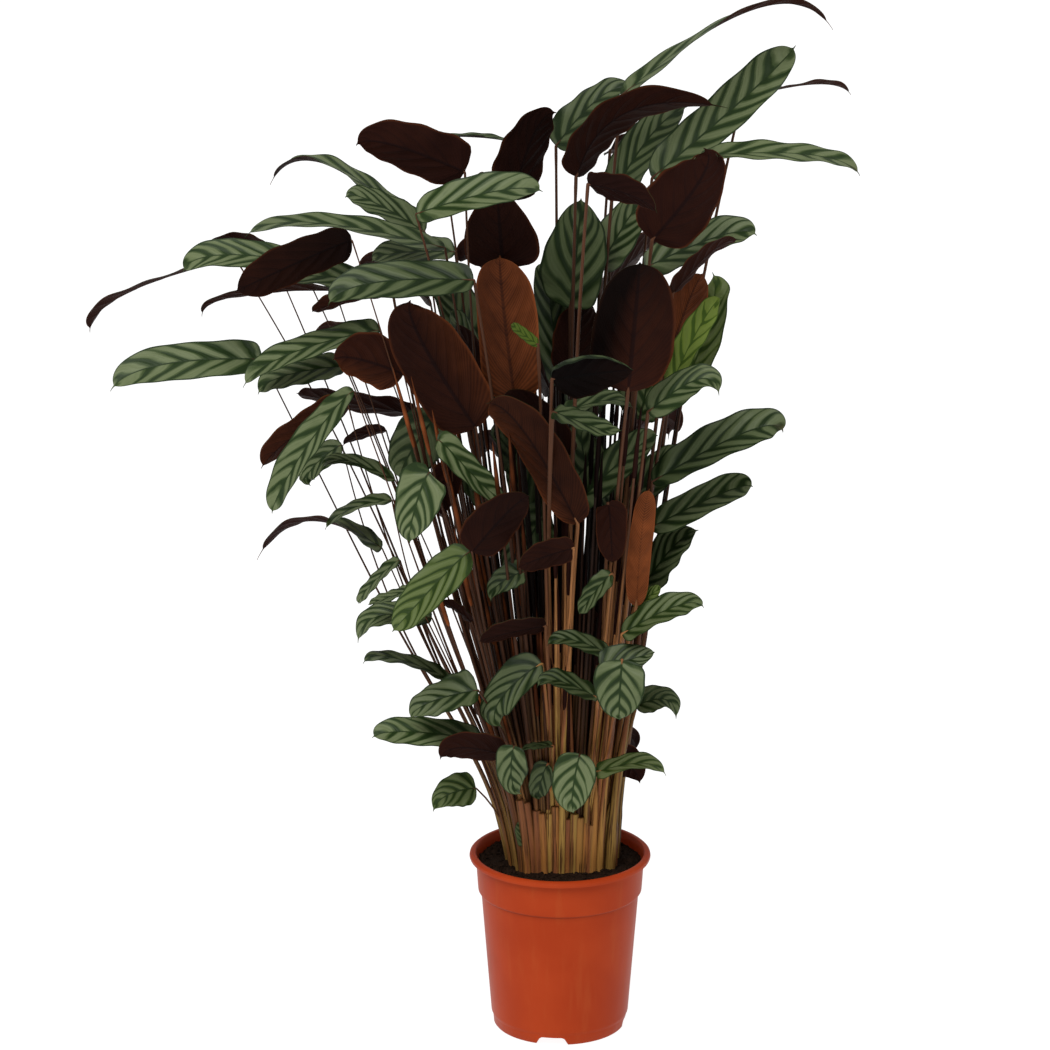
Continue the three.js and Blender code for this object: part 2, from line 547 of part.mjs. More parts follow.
// The compost fills the container with a small gap all round. Its top is level about the stems and
// lumpy near the rim, and each stem stands in a plain hole of its own.
function soilSolid() {
  const inset = WALL + SOIL.gap;
  const bottom = FLOOR.under + FLOOR.thickness + SOIL.gap;
  const geometry = turned([
    [0, bottom], [FOOT.ground - SOIL.gap, bottom], [FOOT.radius - inset, TAPER.bottom + SOIL.gap],
    [TAPER.topRadius - inset, TAPER.top], [BAND.bottomRadius - inset, BAND.bottom + SOIL.gap],
    [radiusOn(BAND, SOIL_LEVEL) - inset, SOIL_LEVEL - SOIL.rimDrop], [SOIL.edge, SOIL_LEVEL],
    [SOIL.plateau, SOIL_LEVEL + SOIL.rise], [0, SOIL_LEVEL + SOIL.rise],
  ]);
  const points = geometry.attributes.position;
  for (let i = 0; i < points.count; i++) {
    if (Math.abs(points.getZ(i) - SOIL_LEVEL) < SOIL.gap) {
      const turn = Math.atan2(points.getY(i), points.getX(i));
      points.setZ(i, SOIL_LEVEL + SOIL.lump * Math.sin(SOIL.waves * turn + 1) * Math.sin(SOIL.swells * turn));
    }
  }
  let solid = toSolid(geometry);
  for (const { tallest } of leafyShoots) {
    const [peg, sheathTop] = stalkRings(tallest, midribOf(tallest), HOLE_CLEARANCE);
    const deeper = tallest.path[0].clone().sub(tallest.path[1]).setLength(HOLE_CLEARANCE);
    solid = solid.subtract(toSolid(loft([peg.map((point) => point.add(deeper)), sheathTop])));
  }
  return solid;
}

// ---- Assembly ----
const plant = new THREE.Group();
plant.add(toMesh('pot', potSolid(), PLASTIC));
plant.add(toMesh('soil', soilSolid(), COMPOST));
leafyShoots.forEach((shoot, index) => {
  const number = String(index + 1).padStart(2, '0');
  plant.add(toMesh(`shoot_${number}`, shootSolid(shoot), FOLIAGE));
});

export default plant;
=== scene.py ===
import math
import random

import bmesh
import bpy
import numpy as np
from bpy.props import FloatProperty, FloatVectorProperty, IntProperty, PointerProperty
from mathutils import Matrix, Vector, noise


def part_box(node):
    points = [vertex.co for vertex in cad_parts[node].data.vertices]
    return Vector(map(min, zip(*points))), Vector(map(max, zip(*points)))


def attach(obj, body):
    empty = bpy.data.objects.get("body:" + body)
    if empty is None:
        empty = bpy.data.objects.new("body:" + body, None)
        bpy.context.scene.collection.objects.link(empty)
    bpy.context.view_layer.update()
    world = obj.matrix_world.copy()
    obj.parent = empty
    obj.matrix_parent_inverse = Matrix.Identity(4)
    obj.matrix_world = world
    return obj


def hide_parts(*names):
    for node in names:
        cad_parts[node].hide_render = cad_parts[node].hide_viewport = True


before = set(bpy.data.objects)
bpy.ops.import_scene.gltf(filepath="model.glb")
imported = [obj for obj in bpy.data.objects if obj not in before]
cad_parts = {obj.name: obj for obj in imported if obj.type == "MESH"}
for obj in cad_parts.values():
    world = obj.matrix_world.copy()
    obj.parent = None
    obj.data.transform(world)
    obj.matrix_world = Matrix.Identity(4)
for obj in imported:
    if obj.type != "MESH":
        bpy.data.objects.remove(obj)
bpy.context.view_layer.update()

bl_info = {
    "name": "Potted prayer plant",
    "version": (1, 0, 0),
    "blender": (4, 5, 0),
    "location": "3D View > Sidebar > Plant",
    "description": "Builds a tall prayer plant in its round plastic container, round its CAD frame",
    "category": "Add Mesh",
}

MM = 0.001

# ---- The front elevation: a square grid of 1050 steps, seen from 5 m away and 2.1 m up (mm) ----
EYE = np.array([-40.6, -5000.0, 2114.0])
TILT = math.radians(16.78)
FOCAL = 4602.0
GRID = 1050
GRID_CENTRE = 525

# ---- Growth, in mm, as in the solids ----
SOIL_LEVEL = 200.0
PEG_DEPTH = 45.0
# The stalks stand on staggered rows of feet, and spread and lean outwards with their height.
FEET = {"columns": 10, "rows": 5, "left": -60.0, "pitch": 13.0, "front": -27.0, "row_pitch": 12.0}
FIELD = {"across": 0.002, "lean": 9.2e-5, "back": 0.004, "back_curl": 4e-6, "hold": 0.6, "hold_height": 160.0}
# The sheath round a stem's foot, its collar, and the most that the two may take of a short stem.
SHEATH_HEIGHT, SHEATH_COLLAR, SHEATH_SHARE, COLLAR_SHARE = 52.0, 10.0, 0.7, 0.85
# Where a shoot's stalks branch off, as shares of their leaves' heights, from the tallest leaf down, and how
# late they swing out.
BRANCH_AT = [0.4, 0.3, 0.36, 0.26, 0.2]
BRANCH_SWING = 1.6
# A side stalk longer than this bends in its middle too. Each starts a little below its branching height.
LONG_STALK, STALK_ROOT = 130.0, -0.04
# Steps until a base settles on its plane, and the share of the reach back that a blade's middle has.
SETTLE_STEPS, MIDDLE_REACH = 12, 0.4
# The most that a midrib turns away from its stalk, and how soon it bends on.
JOINT_BEND, JOINT_HANDLE = math.radians(80), 0.1
# How near to upright a blade's line is where its facing turns over.
TURN_OVER = 0.1
# How far above its solid's top, in metres, a shoot's finest points may be.
SHOOT_SPARE = 0.05

# ---- Leaves ----
# across, down of the base; across, down halfway; across, down of the tip;
# layer of the foot (0 front row, 4 back row, minus in front); reach back from base to tip;
# width; face at base and tip in degrees (0 upper side to the front, 90 edge on, 180 underside).
LEAVES = [
    # upper left fan
    (235, 258, 155, 281, 90, 333, 3.0, 10, 42, 78, 112),
    (300, 262, 240, 255, 183, 273, 2.1, 10, 45, 45, 50),
    (352, 240, 298, 262, 234, 292, 1.0, -15, 55, 140, 150),
    (445, 248, 350, 227, 245, 237, 1.4, 0, 46, 64, 70),
    (268, 247, 235, 243, 203, 262, 3.3, 10, 38, 112, 118),
    (335, 290, 262, 292, 202, 317, 1.8, 0, 38, 97, 104),
    (262, 359, 188, 361, 110, 392, 2.2, -30, 48, 28, 34),
    (420, 228, 352, 176, 270, 185, 3.0, 0, 45, 50, 100),
    (465, 172, 410, 150, 356, 146, 1.3, -20, 66, 150, 145),
    (440, 137, 478, 137, 517, 145, 3.0, 0, 28, 80, 85),
    (416, 214, 475, 196, 543, 192, 0.9, -30, 50, 42, 48),
    (425, 232, 385, 208, 345, 198, 2.3, 0, 46, 48, 52),
    (455, 252, 412, 252, 372, 262, 3.6, 0, 44, 50, 50),
    (474, 280, 400, 280, 328, 306, 0.3, -20, 52, 38, 44),
    (392, 285, 330, 277, 270, 286, 1.4, 0, 46, 52, 60),
    (392, 292, 350, 300, 312, 312, 1.2, 0, 40, 112, 112),
    # top
    (512, 200, 527, 150, 557, 113, 2.2, 0, 62, 150, 140),
    (503, 268, 500, 228, 497, 190, 1.2, 0, 84, 165, 160),
    (556, 146, 588, 108, 634, 92, 2.9, 0, 46, 30, 45),
    (576, 177, 604, 128, 728, 108, 1.4, -5, 60, 140, 120),
    (588, 184, 622, 192, 657, 213, 0, -35, 44, 125, 130),
    (652, 178, 722, 118, 796, 45, 2.6, 0, 52, 24, 26),
    (612, 196, 640, 150, 690, 106, 3.0, 0, 52, 30, 35),
    (652, 240, 690, 195, 703, 148, 0.4, -20, 80, 160, 155),
    (700, 156, 780, 153, 860, 176, 1.8, -10, 45, 66, 66),
    (742, 98, 795, 86, 851, 95, 3.0, 0, 34, 84, 100),
    (621, 96, 715, 27, 833, 30, 2.2, 0, 42, 55, 112),
    (645, 268, 700, 243, 757, 236, 1.2, -20, 50, 40, 45),
    (672, 294, 700, 262, 740, 240, 0.6, -20, 34, 112, 120),
    (570, 308, 576, 255, 581, 198, 2.25, 0, 74, 25, 30),
    (600, 268, 620, 232, 648, 196, 2.6, 0, 56, 35, 40),
    # right
    (628, 392, 634, 328, 640, 262, -0.6, -30, 92, 165, 165),
    (572, 372, 578, 335, 590, 300, 2.6, 0, 62, 150, 150),
    (515, 402, 506, 330, 500, 255, 0.6, -10, 70, 162, 158),
    (538, 345, 524, 335, 511, 324, 0.1, -10, 14, 30, 40),
    (668, 392, 690, 345, 722, 297, 0.6, -10, 36, 45, 40),
    (660, 388, 678, 330, 705, 272, 1.2, 0, 58, 148, 150),
    (684, 388, 705, 335, 712, 272, 2.4, 0, 52, 38, 42),
    (648, 412, 685, 385, 719, 396, -0.3, -20, 44, 38, 40),
    (552, 379, 590, 374, 634, 370, -1.2, -10, 64, 140, 150),
    (565, 412, 597, 402, 633, 409, 0.4, 10, 40, 62, 62),
    (553, 412, 585, 424, 622, 430, -1.05, -20, 42, 58, 58),
    (652, 482, 722, 443, 783, 433, 0.15, -10, 52, 42, 38),
    (618, 508, 650, 478, 684, 448, 1.6, 0, 46, 25, 28),
    (578, 502, 618, 464, 658, 436, 0.3, -10, 44, 28, 30),
    (650, 528, 702, 502, 753, 487, 0.9, -10, 44, 36, 40),
    (640, 592, 662, 560, 699, 530, 1.1, 0, 56, 40, 45),
    (622, 634, 662, 612, 704, 608, -1.4, -20, 40, 42, 48),
    (636, 606, 640, 550, 650, 488, -0.7, -15, 27, 165, 165),
    (634, 608, 648, 597, 661, 587, -0.4, -5, 22, 30, 35),
    # left middle
    (380, 330, 312, 346, 243, 388, 1.4, -10, 44, 50, 56),
    (345, 366, 300, 372, 258, 395, 1.75, 0, 42, 42, 46),
    (404, 374, 370, 362, 333, 360, 1.05, -15, 64, 155, 155),
    (476, 428, 435, 365, 411, 300, 0.5, -10, 82, 165, 160),
    (494, 402, 478, 365, 455, 322, 1.7, 0, 48, 125, 130),
    (490, 392, 470, 350, 450, 310, 2.5, 0, 46, 50, 50),
    (418, 414, 355, 404, 296, 393, 2.5, 0, 42, 118, 118),
    (348, 404, 305, 428, 261, 469, 1.5, -5, 44, 132, 132),
    (354, 391, 308, 445, 272, 514, 0.5, -20, 42, 48, 45),
    (342, 445, 318, 462, 311, 486, 1.7, -10, 32, 30, 40),
    (395, 480, 358, 464, 322, 468, 0.9, 0, 34, 66, 66),
    (386, 430, 365, 434, 343, 446, 2.3, 0, 26, 118, 118),
    (430, 472, 416, 505, 410, 543, 0.2, -20, 58, 18, 22),
    (437, 418, 415, 445, 400, 478, 1.65, 0, 62, 10, 14),
    (437, 440, 468, 470, 507, 500, -0.2, 0, 36, 35, 40),
    (462, 470, 478, 492, 488, 514, 2.6, 0, 38, 35, 40),
    (382, 548, 330, 523, 257, 560, 1.0, 0, 44, 55, 115),
    (392, 500, 360, 506, 325, 530, 0.6, 0, 30, 62, 70),
    (400, 560, 376, 580, 359, 604, 0.6, 0, 24, 55, 60),
    (412, 590, 390, 597, 368, 605, -0.85, 0, 26, 62, 70),
    (432, 618, 392, 614, 358, 644, -0.25, 0, 38, 42, 50),
    (470, 552, 432, 588, 392, 632, -0.9, -20, 52, 36, 36),
    (472, 622, 455, 608, 437, 608, 0.2, 0, 22, 115, 120),
    (452, 680, 408, 662, 363, 664, 0.1, -15, 32, 62, 66),
    (478, 690, 442, 698, 411, 720, -1.8, -5, 52, 36, 40),
    (482, 740, 428, 733, 372, 738, -1.6, -20, 40, 32, 40),
    (505, 755, 472, 748, 440, 760, -2.3, -20, 42, 135, 140),
    (476, 788, 455, 792, 433, 812, 0.6, -10, 42, 18, 24),
    # centre and low front
    (578, 524, 540, 455, 486, 404, -0.9, -30, 62, 150, 128),
    (472, 552, 498, 522, 530, 496, -1.4, -10, 58, 152, 150),
    (608, 503, 611, 532, 612, 563, -0.5, -5, 36, 165, 165),
    (452, 466, 446, 490, 440, 514, 0.9, 0, 36, 150, 150),
    (524, 572, 505, 580, 491, 602, -0.3, -10, 36, 30, 35),
    (546, 516, 526, 545, 506, 585, 1.6, 0, 52, 16, 20),
    (574, 548, 546, 556, 518, 568, -1.2, -10, 40, 142, 145),
    (612, 574, 595, 592, 579, 614, -1.1, 0, 30, 42, 44),
    (542, 664, 508, 690, 503, 728, -0.9, -15, 46, 28, 26),
    (514, 746, 511, 770, 522, 794, -3.0, -10, 38, 18, 20),
    (548, 764, 541, 782, 540, 799, -0.9, -5, 30, 28, 30),
    (580, 754, 574, 783, 574, 813, -1.4, -15, 50, 15, 18),
    (596, 772, 630, 764, 666, 776, -1.8, -15, 36, 55, 58),
    (614, 762, 627, 765, 640, 784, 1.3, 10, 44, 160, 165),
    (622, 660, 620, 690, 620, 720, -3.4, -15, 58, 15, 18),
    (600, 668, 628, 660, 655, 652, -2.15, 0, 42, 30, 34),
    (636, 706, 658, 699, 676, 720, 0.3, -10, 36, 32, 40),
    (598, 698, 568, 684, 537, 688, -2.2, -10, 36, 55, 55),
    (610, 654, 580, 642, 547, 646, -1.25, -10, 28, 46, 48),
    (546, 626, 512, 632, 479, 642, -1.2, -5, 38, 122, 122),
    (598, 618, 585, 624, 571, 632, 0.5, 0, 30, 145, 150),
    (523, 846, 521, 834, 517, 822, -0.9, -3, 13, 15, 15),
    (553, 746, 538, 746, 520, 753, -1.0, -5, 22, 66, 70),
    # inside the clump
    (560, 385, 552, 320, 548, 262, 2.7, 0, 50, 45, 45),
    (600, 500, 585, 460, 592, 420, 1.4, 5, 54, 20, 25),
    (520, 470, 510, 440, 530, 412, 2.6, 0, 50, 40, 40),
    (590, 420, 580, 380, 572, 340, 3.3, 0, 56, 30, 30),
    (640, 420, 648, 380, 654, 335, 3.0, 0, 56, 30, 30),
    (472, 345, 455, 305, 440, 262, 3.2, 0, 56, 35, 35),
    (548, 558, 530, 510, 508, 458, 2, -5, 46, 30, 35),
    (575, 475, 566, 430, 560, 380, 3.7, 0, 52, 150, 150),
    (560, 642, 552, 600, 545, 556, 2.75, 10, 46, 145, 145),
    (622, 562, 616, 520, 612, 472, 2.6, 0, 46, 35, 30),
    (568, 456, 541, 420, 500, 398, 0.2, 0, 40, 150, 150),
    # on the back, reaching away from the front
    (505, 232, 490, 204, 474, 184, 3.6, 120, 54, 125, 135),
    (610, 150, 640, 140, 668, 150, 3.6, 100, 52, 110, 110),
    (520, 300, 490, 270, 470, 262, 3.8, 130, 58, 120, 130),
    (600, 290, 630, 262, 650, 250, 4.1, 120, 56, 115, 125),
    (430, 300, 395, 275, 370, 280, 3.4, 110, 52, 110, 120),
    (380, 350, 345, 335, 325, 350, 3.2, 90, 48, 110, 110),
    (550, 390, 530, 350, 505, 345, 3.3, 140, 58, 125, 135),
    (470, 400, 440, 372, 420, 385, 3.7, 120, 54, 115, 120),
    (620, 440, 650, 420, 668, 440, 3.8, 110, 50, 115, 120),
    (520, 480, 500, 455, 480, 462, 4.1, 130, 54, 125, 130),
    (450, 520, 425, 505, 405, 522, 3.9, 100, 46, 110, 115),
    (550, 590, 530, 565, 512, 575, 4.2, 120, 50, 120, 130),
    (610, 620, 632, 600, 650, 618, 4.4, 90, 44, 110, 115),
    (565, 690, 580, 665, 596, 680, 4.3, 90, 44, 120, 125),
    (520, 720, 500, 705, 480, 722, 4.4, 80, 42, 115, 120),
    (600, 750, 618, 738, 630, 755, 4.4, 70, 38, 110, 115),
    (545, 780, 535, 765, 520, 780, 4.4, 60, 36, 120, 125),
]

# How rusty an underside is (0 burgundy, 1 orange brown), how lime a young blade is, and how dry its tip is.
# The rust is the blades' own colour, and on a few blades also painted light shining through them.
RUST = {
    8: 0.02, 20: 0.0, 23: 0.02, 31: 0.05, 33: 0.4, 36: 0.45, 48: 1.0, 52: 0.05, 53: 0.05, 57: 0.12, 78: 0.16,
    79: 0.03, 80: 0.04,
}
LEAST_RUST, RUST_RANGE = 0.01, 0.05
LIME = {34: 1.0, 35: 0.8, 37: 0.3, 47: 0.08, 49: 0.5, 71: 0.3, 77: 0.2, 90: 0.15, 99: 0.1}
DRY_TIP = {7: 1.0, 26: 1.0, 25: 1.0, 66: 1.0, 0: 1.0, 24: 0.3, 42: 0.2}

# How much painted shade a blade has (0 none, so bright; 1 deep in the clump). Where it isn't given here, it
# falls with the blade's distance from the clump's middle and partly goes by chance.
DEEP = {
    2: 0.8, 10: 0.0, 13: 0.6, 20: 0.5, 21: 0.15, 22: 0.6, 31: 0.1, 33: 0.4, 39: 1.0, 42: 0.75, 45: 0.0,
    62: 0.0, 64: 0.2, 71: 0.5, 75: 0.1, 77: 0.3, 84: 0.6, 85: 0.6, 86: 0.6, 87: 0.3, 89: 0.0, 90: 0.1,
    92: 0.35,
}
SHADE_MIDDLE, SHADE_FALL, SHADE_CHANCE = 0.95, 0.7, 0.25
CLUMP_LEAN, CLUMP_RADIUS = -0.03, 170.0
# Painted light and shade: a blade is painted lighter at its outer parts than near the clump.
OUTER_LIGHT = 0.45

# Single blades with painted shade towards their tip or one side, that are rustier towards one side, or that
# have one edge rolled under. The sign of the last three says which side.
SHADED_TIP, SHADED_TIP_POWER = {31: 0.9}, 1.5
SHADED_SIDE, SHADED_SIDE_TONE = {31: 1.6}, 0.7
RUSTY_SIDE, RUSTY_SIDE_FROM, RUSTY_SIDE_TONE = {78: 1, 33: -1, 52: 1, 53: -1}, 0.1, 0.3
ROLL = {39: 1}
ROLL_START, ROLL_TURN = 0.62, math.radians(170)

# ---- Fine blades (mm, and shares of a blade) ----
# The rows lie closer at both ends of a blade, and the columns at its midrib and edges.
BLADE_ROWS = 60
FIRST_ROW, ROW_EASE = 0.004, 0.28
HALF_COLUMNS = np.array([0.0, 0.035, 0.08, 0.2, 0.36, 0.52, 0.68, 0.84, 0.95, 1.0])
# A slim blade is oblong and a broad one ovate: where it is widest, how square and full its base is, and how
# late and how bluntly its tip tapers. It ends in a short drip tail, and no two halves are quite alike.
OBLONG = {"widest": 0.47, "square": 3.0, "full": 0.58, "taper": 3.4, "point": 0.6}
OVATE = {"widest": 0.36, "square": 2.4, "full": 0.55, "taper": 1.9, "point": 0.82}
OBLONG_RATIO, OVATE_RATIO = 0.3, 0.65
TAIL = {"share": 0.05, "from": 0.8, "half": 0.07, "long": 2.2, "power": 0.8}
SKEW, UNEVEN, SWAYS = 0.2, 0.07, 8
# Step and start of the seeds of the leaves' forms and tones.
FORM_SEEDS, TONE_SEEDS = (5, 1), (7, 3)
# The side veins sweep towards the tip. They are raised between the midrib and the edge.
VEINS_LEAST, VEIN_PITCH, VEIN_CHANCE = 4.2, 44.0, 0.14
SWEEP = {"share": 0.85, "most": 0.4, "from": 0.3, "out": 1.2, "end": 2.5}
VEIN_RELIEF, RELIEF_HALF, RELIEF_FROM = 0.65, 20.0, 0.2
# A blade folds up from its midrib, waves slowly along each half and ruffles at its edge. The phase of each
# half is set off by SIDE_PHASE radians to its own side, so that the halves don't ruffle alike.
FOLD, FOLD_POWER = 0.16, 1.25
WAVE, WAVE_POWER, WAVES_LEFT, WAVES_RIGHT = 0.1, 1.6, 9, 8
RUFFLE, RUFFLE_LEAST, RUFFLES, RUFFLE_SHIFT = 0.05, 0.5, 31, 1.7
SIDE_PHASE = 2
THICK_MIDDLE, THICK_EDGE = 0.62, 0.4
# The midrib is a groove above and a rib underneath that thins towards the tip.
RIB_SHARE, RIB_HALF, RIB_GROOVE, RIB_DEPTH, RIB_FADE = 0.08, 8.0, 0.28, 0.75, 1.15

# ---- Fine stalks ----
STEM_SIDES, PETIOLE_SIDES = 16, 10
RING_STEP = 13.0
FEWEST_RINGS = {"stalk": 5, "stem": 3, "side": 3, "spear": 6}
PEG_SHOULDER, SHEATH_RINGS, SHEATH_LIP = -5.0, 6, 2.0
SHEATHED_SHARE = 0.55
FINE_STEM_RADII = [5.9, 5.7, 5.0, 4.3, 2.9, 1.8, 1.5]
FINE_PETIOLE_RADII = [4.2, 3.0, 2.0, 1.5]
# A side stalk stands beside its stem at first, each one turned on and a little further out.
SIDE_OFFSET, SIDE_SPACING, SIDE_TURN, SIDE_DEPTH = 6.4, 0.16, 2.4, -20.0
SIDE_FADE, SIDE_FADE_POWER = 0.45, 1.5
# The joint under a blade is swollen, and then the stalk thins into the midrib.
JOINT_SWELL, JOINT_LENGTH = 1.2, 0.12
RIB_RUN, RIB_RADII = np.array([0.02, 0.05, 0.09, 0.14]), [1.5, 1.2, 0.9, 0.3]
# Stems are fluted, with a slow twist, and have painted shade where one is pressed against the next.
FLUTES, SLOW_FLUTE, FLUTE_TWIST = 9, 0.6, 90.0
STEM_FLUTE, STUB_FLUTE, MOST_TURN = 0.045, 0.05, 6
PRESSED_SHADE, STUB_PRESSED_SHADE, PRESSED_SHADE_POWER = 0.4, 0.8, 3
TUBE_START = [0.31, -0.9, 0.2]
BURIED = -12.0
# Short old sheaths with a little painted shade stand in front of the front stems, and rolled young leaves
# stand inside the clump.
STUBS = {
    "left": -36.0, "right": 33.0, "back": -20.0, "tall": 87.0, "short": 66.0, "uneven": 7.0, "radius": 5.2,
    "pitch": 6.5, "out": 8.5, "scatter": 1.5, "deep": 0.08, "red": 0.4, "least_tone": 0.4,
}
STUB_ROUNDING = {"below": [4.0, 1.0, 0.0], "shares": [1.05, 1, 0.97, 0.86], "rings": 6}
SPEARS = {
    "each": 8, "left": -44.0, "right": 46.0, "least": 150.0, "most": 520.0, "blade": 80.0, "radius": 2.6,
    "scatter": 6.0, "foot": 3.4, "neck": 1.5, "overlap": 6.0, "ring_step": 30, "rings": 12,
}
SPEAR_LENGTHS = (0.7, 1.2)
SPEAR_FORM = {"early": 0.6, "full": 0.8, "least": 0.05}

# ---- Tones of the stalks ----
RED_LEFT, RED_RIGHT = -40.0, 5.0
# Bright and dark bundles stand side by side, with painted light and painted shade. In the front rows, the
# brightest of them are painted pale, as painted light, to the right of "pale_from".
BUNDLES = {
    "across": [-54.0, -41.0, -21.0, -14.0, -8.0, 5.0, 12.0, 18.0, 25.0, 31.0, 38.0, 46.0, 57.0],
    "deep": [0.2, 0.15, 0.4, 0.7, 0.05, 0.0, 0.5, 0.85, 0.75, 0.05, 0.0, 0.1, 0.3],
    "pale_from": -15.0, "pale": 0.9, "pale_below": 0.3,
}
# Painted shade: the clump is painted dark inside, and so are the sides of its stalks that are turned to its
# middle.
CLUMP = {"across": 62.0, "back": 27.0, "edge": 1.1, "turned": 0.8, "core": 0.1}
# Feet in front of this depth are in the front rows.
MIDDLE_ROW = -2.0
# The clump opens towards its top, and the painted shade on its stalks fades there.
OPEN = {"heights": [520.0, 760.0], "shade": [1.0, 0.4]}
# The front stems to the right are stouter, and the stalks that fan out to the left are thinner.
STOUT, THIN, STOUT_FROM, THIN_FROM = 1.15, 0.5, -12.0, -40.0
# Stalks have no side veins, but every point of a mesh carries their number.
STALK_VEINS = 5.0

# A shoot's materials, in order, and the angles in degrees below which edges are shaded smooth.
UPPER, UNDER, STALK = 0, 1, 2
SMOOTH_SHOOT, SMOOTH_POT, SMOOTH_SOIL = 55, 34, 40

# ---- Container (mm from its axis and underside) ----
# The ledge is the step under the upper band. The notches are arches in the foot ring, each turned on from the
# one before, and a drain hole lies between every two of them.
POT_OUTSIDE = [
    (0, 0.0), (15, 0.0), (17, 10), (66.4, 10), (68.4, 0.0), (72.4, 0.0), (75.6, 0.9), (77.2, 3.0),
    (77.8, 12.0), (78.2, 13.2), (79.6, 16.2), (79.9, 17.8), (91.3, 162.2), (91.5, 164.0), (92.2, 165.0),
    (94.2, 165.8), (94.9, 166.8), (95.1, 168.4), (97.5, 203.6),
]
# A line of painted shadow runs along the ledge.
POT_LEDGE = 164.6
NOTCHES, NOTCH_TURN, NOTCH_NEAR, NOTCH_FAR = 4, -97, 60, 86
NOTCH_HALF = [(19.5, -2), (18, 2.2), (16.4, 5.2), (14.6, 8.2), (12.6, 9.6), (10.4, 10)]
DRAIN = {"out": 44, "radius": 5, "sides": 20, "low": 6, "high": 18}

# ---- Compost (mm) ----
SOIL_RINGS, SOIL_AROUND, SOIL_CROWD = 70, 200, 0.85
SOIL_RIM = 94.4
SOIL_SIDE = [(93.7, 190), (92.1, 168.8), (88.4, 161.8), (74.8, 17.6), (71.8, 13.0)]
# The top is lumpy towards the rim, rough all over, with clods here and there, and drops at the wall.
SOIL_LUMPS = {"from": 60, "over": 22, "waves": (5, 3)}
SOIL_ROUGH = {"height": 1.6, "scale": 130, "fractal": (0.9, 2.1, 4)}
SOIL_CLODS = {"height": 4.0, "scale": 62, "slice": 0.3}
SOIL_DROP = {"height": 2.2, "from": 89, "over": 5.6}
CRUMBS = {
    "seed": 11, "sizes": (0.7, 0.9, 1.2, 1.6, 2.4), "spread": (0.7, 1.2), "uneven": 0.22, "within": 0.985,
    "sunk": 0.25, "stretch": ((0.6, 1.5), (0.6, 1.3), (0.5, 0.9)),
}

# ---- Stage ----
WHITE = (1.0, 1.0, 1.0, 1.0)
FLOOR_GLOW = 0.95
KEY_SOFTNESS, KEY_TILT, KEY_TURN = math.radians(38), math.radians(36), math.radians(-24)
SENSOR, VIEW_END = 36.0, 100.0


# ---- Places ----

def clamp(value):
    return min(1.0, max(0.0, value))


def either_way(chance):
    """A chance number from -1 to 1."""
    return 2 * chance.random() - 1


def unit(vectors):
    length = np.linalg.norm(vectors, axis=-1, keepdims=True)
    return vectors / np.maximum(length, 1e-9)


def on_grid(across, down, depth):
    """The point on the plane y = depth that is seen at one place of the front grid."""
    right = (across - GRID_CENTRE) / FOCAL
    up = (GRID_CENTRE - down) / FOCAL
    ahead = math.cos(TILT) + up * math.sin(TILT)
    rise = -math.sin(TILT) + up * math.cos(TILT)
    far = (depth - EYE[1]) / ahead
    return np.array([EYE[0] + far * right, depth, EYE[2] + far * rise])


def straight(height):
    return np.maximum(height, 0)


def held(height):
    """The height that counts for the sideways spread: the stalks rise close together at first."""
    return straight(height) * (1 - FIELD["hold"] * np.exp(-((height / FIELD["hold_height"]) ** 2)))


def spread_across(rise):
    return 1 + FIELD["across"] * rise


def lean_across(rise):
    return -FIELD["lean"] * rise


def spread_back(height):
    return 1 + FIELD["back"] * straight(height) + FIELD["back_curl"] * height * height


def on_field(foot, height):
    """Where a stalk from this foot is at a height above the soil; none crosses another."""
    rise = held(height)
    lean = lean_across(rise) * foot[0] ** 2 if foot[0] < 0 else 0.0
    across = foot[0] * spread_across(rise) + lean
    return np.array([across, foot[1] * spread_back(height), SOIL_LEVEL + height])


def foot_below(point, risen):
    """The foot of the stalk through a point, where its sideways spread grows with height as given."""
    height = point[2] - SOIL_LEVEL
    spread = spread_across(risen(height))
    lean = lean_across(risen(height)) if point[0] < 0 else 0.0
    across = 2 * point[0] / (spread + math.sqrt(spread * spread + 4 * lean * point[0]))
    return np.array([across, point[1] / spread_back(height)])


def off_middle(points):
    """How far out from the leaning middle of the clump points are, as a share of its radius."""
    return np.abs(points[..., 0] - points[..., 2] * CLUMP_LEAN) / CLUMP_RADIUS


def facing(centre, along, face):
    """The upper side's normal: turned from the viewer's side towards up, by the face angle in radians."""
    to_eye = unit(EYE - centre)
    side = unit(np.cross(along, to_eye))
    ahead = np.cross(side, along)
    # Where a blade's line passes the upright, its facing turns over little by little.
    up = side * side[..., 2:] / np.sqrt(side[..., 2:] ** 2 + TURN_OVER**2)
    return unit(ahead * np.cos(face)[..., None] + up * np.sin(face)[..., None])


def bezier(points, share):
    """Points and directions at these shares of a cubic curve."""
    a, b, c, d = points
    t = np.asarray(share, float)[..., None]
    s = 1 - t
    place = a * s**3 + 3 * b * s * s * t + 3 * c * s * t * t + d * t**3
    slope = 3 * ((b - a) * s * s + 2 * (c - b) * s * t + (d - c) * t * t)
    return place, unit(slope)


def turned(vector, axis, angle):
    """A vector turned about a unit axis."""
    cos, sin = math.cos(angle), math.sin(angle)
    return vector * cos + np.cross(axis, vector) * sin + axis * np.dot(axis, vector) * (1 - cos)


# ---- Growth ----

